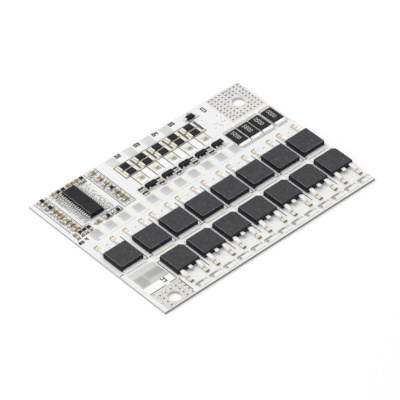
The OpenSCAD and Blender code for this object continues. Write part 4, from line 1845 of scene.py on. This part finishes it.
@dataclass
class Studio:
    """Camera, soft lights and a plain pale floor, all in metres."""

    azimuth: float = -42.48
    elevation: float = 42.72
    distance: float = 0.6929
    lens: float = 280.99
    target: Triple = (-0.001577, -0.000799, -0.0002)
    ambient: float = 0.62
    key_power: float = 2.6
    key_size: float = 0.55
    key_place: Triple = (-0.12, 0.30, 0.62)
    floor_half: float = 2.0
    floor_gap: float = 0.00002
    floor_tone: Colour = (0.86, 0.86, 0.86)
    floor_glow: float = 0.155

    def build(self) -> None:
        """Sets the view, the lamp, the world and the floor."""
        bpy.context.scene.view_settings.view_transform = "Standard"
        self.camera()
        self.key()
        self.world()
        self.floor()

    def stand(self, name: str, data: bpy.types.ID, place: Vector, way: Vector) -> bpy.types.Object:
        """Puts a camera or a lamp in the scene, looking along a way.

        Args:
            name: its name.
            data: the camera's or the lamp's data.
            place: where it stands.
            way: the way it looks.

        Returns:
            The new object.
        """
        obj = bpy.data.objects.new(name, data)
        obj.location = place
        obj.rotation_euler = way.to_track_quat("-Z", "Y").to_euler()
        bpy.context.scene.collection.objects.link(obj)
        return obj

    def camera(self) -> None:
        """Long lens aimed at the board from its front left."""
        a, e = math.radians(self.azimuth), math.radians(self.elevation)
        back = Vector((math.sin(a) * math.cos(e), -math.cos(a) * math.cos(e), math.sin(e)))
        data = bpy.data.cameras.new("view")
        data.lens, data.sensor_width = self.lens, 36.0
        data.clip_start, data.clip_end = 0.01, 20.0
        place = Vector(self.target) + back * self.distance
        bpy.context.scene.camera = self.stand("view", data, place, -back)

    def key(self) -> None:
        """One wide lamp above and a little behind the board."""
        data = bpy.data.lights.new("key", "AREA")
        data.shape, data.size, data.size_y = "RECTANGLE", self.key_size, self.key_size
        data.energy = self.key_power
        self.stand("key", data, Vector(self.key_place), -Vector(self.key_place))

    def world(self) -> None:
        """Even ambient light; what the camera and mirrors see of it is white."""
        world = bpy.data.worlds.new("studio")
        world.use_nodes = True
        g = Graph(world.node_tree)
        path = g.node("ShaderNodeLightPath")
        seen = path.out("Is Camera Ray")
        for ray in ("Is Glossy Ray", "Is Transmission Ray"):
            seen = g.node("ShaderNodeMath", {0: seen, 1: path.out(ray)}, operation="ADD",
                          use_clamp=True).out()
        dim, white = (
            g.node("ShaderNodeBackground", {"Color": (1, 1, 1, 1), "Strength": strength}).out()
            for strength in (self.ambient, 1.0))
        blend = g.node("ShaderNodeMixShader", {0: seen, 1: dim, 2: white}).out()
        g.node("ShaderNodeOutputWorld", {"Surface": blend})
        bpy.context.scene.world = world

    def floor(self) -> None:
        """Wide flat floor that keeps the board's soft shadow; its faint glow is
        seen by the camera alone."""
        mesh = bpy.data.meshes.new("floor")
        corners = rectangle(2 * self.floor_half, 2 * self.floor_half)
        mesh.from_pydata([(x, y, 0) for x, y in corners], [], [(0, 1, 2, 3)])
        floor = bpy.data.objects.new("floor", mesh)
        floor.location.z = -self.floor_gap
        bpy.context.scene.collection.objects.link(floor)
        material = bpy.data.materials.new("floor_white")
        material.use_nodes = True
        g = Graph(material.node_tree)
        matte = g.node("ShaderNodeBsdfDiffuse", {"Color": (*self.floor_tone, 1)}).out()
        strength = g.node("ShaderNodeLightPath").out("Is Camera Ray") * self.floor_glow
        glow = g.node("ShaderNodeEmission", {"Color": (1, 1, 1, 1), "Strength": strength}).out()
        both = g.node("ShaderNodeAddShader", {0: matte, 1: glow}).out()
        g.node("ShaderNodeOutputMaterial", {"Surface": both})
        mesh.materials.append(material)


# ---------------------------------------------------------------- main


def main() -> None:
    """Builds the board's sub-assemblies in order and reports the pieces."""
    shop = Workshop()
    for kind in (BoardSurface, PowerTransistors, ChipParts, SenseBank, MonitorChip, BalancingSwitches,
                 Silkscreen):
        kind(shop).build()
        LOG.info("%s done", kind.__name__)
    Studio().build()
    LOG.info("%d pieces", shop.count)


if __name__ == "__main__":
    main()
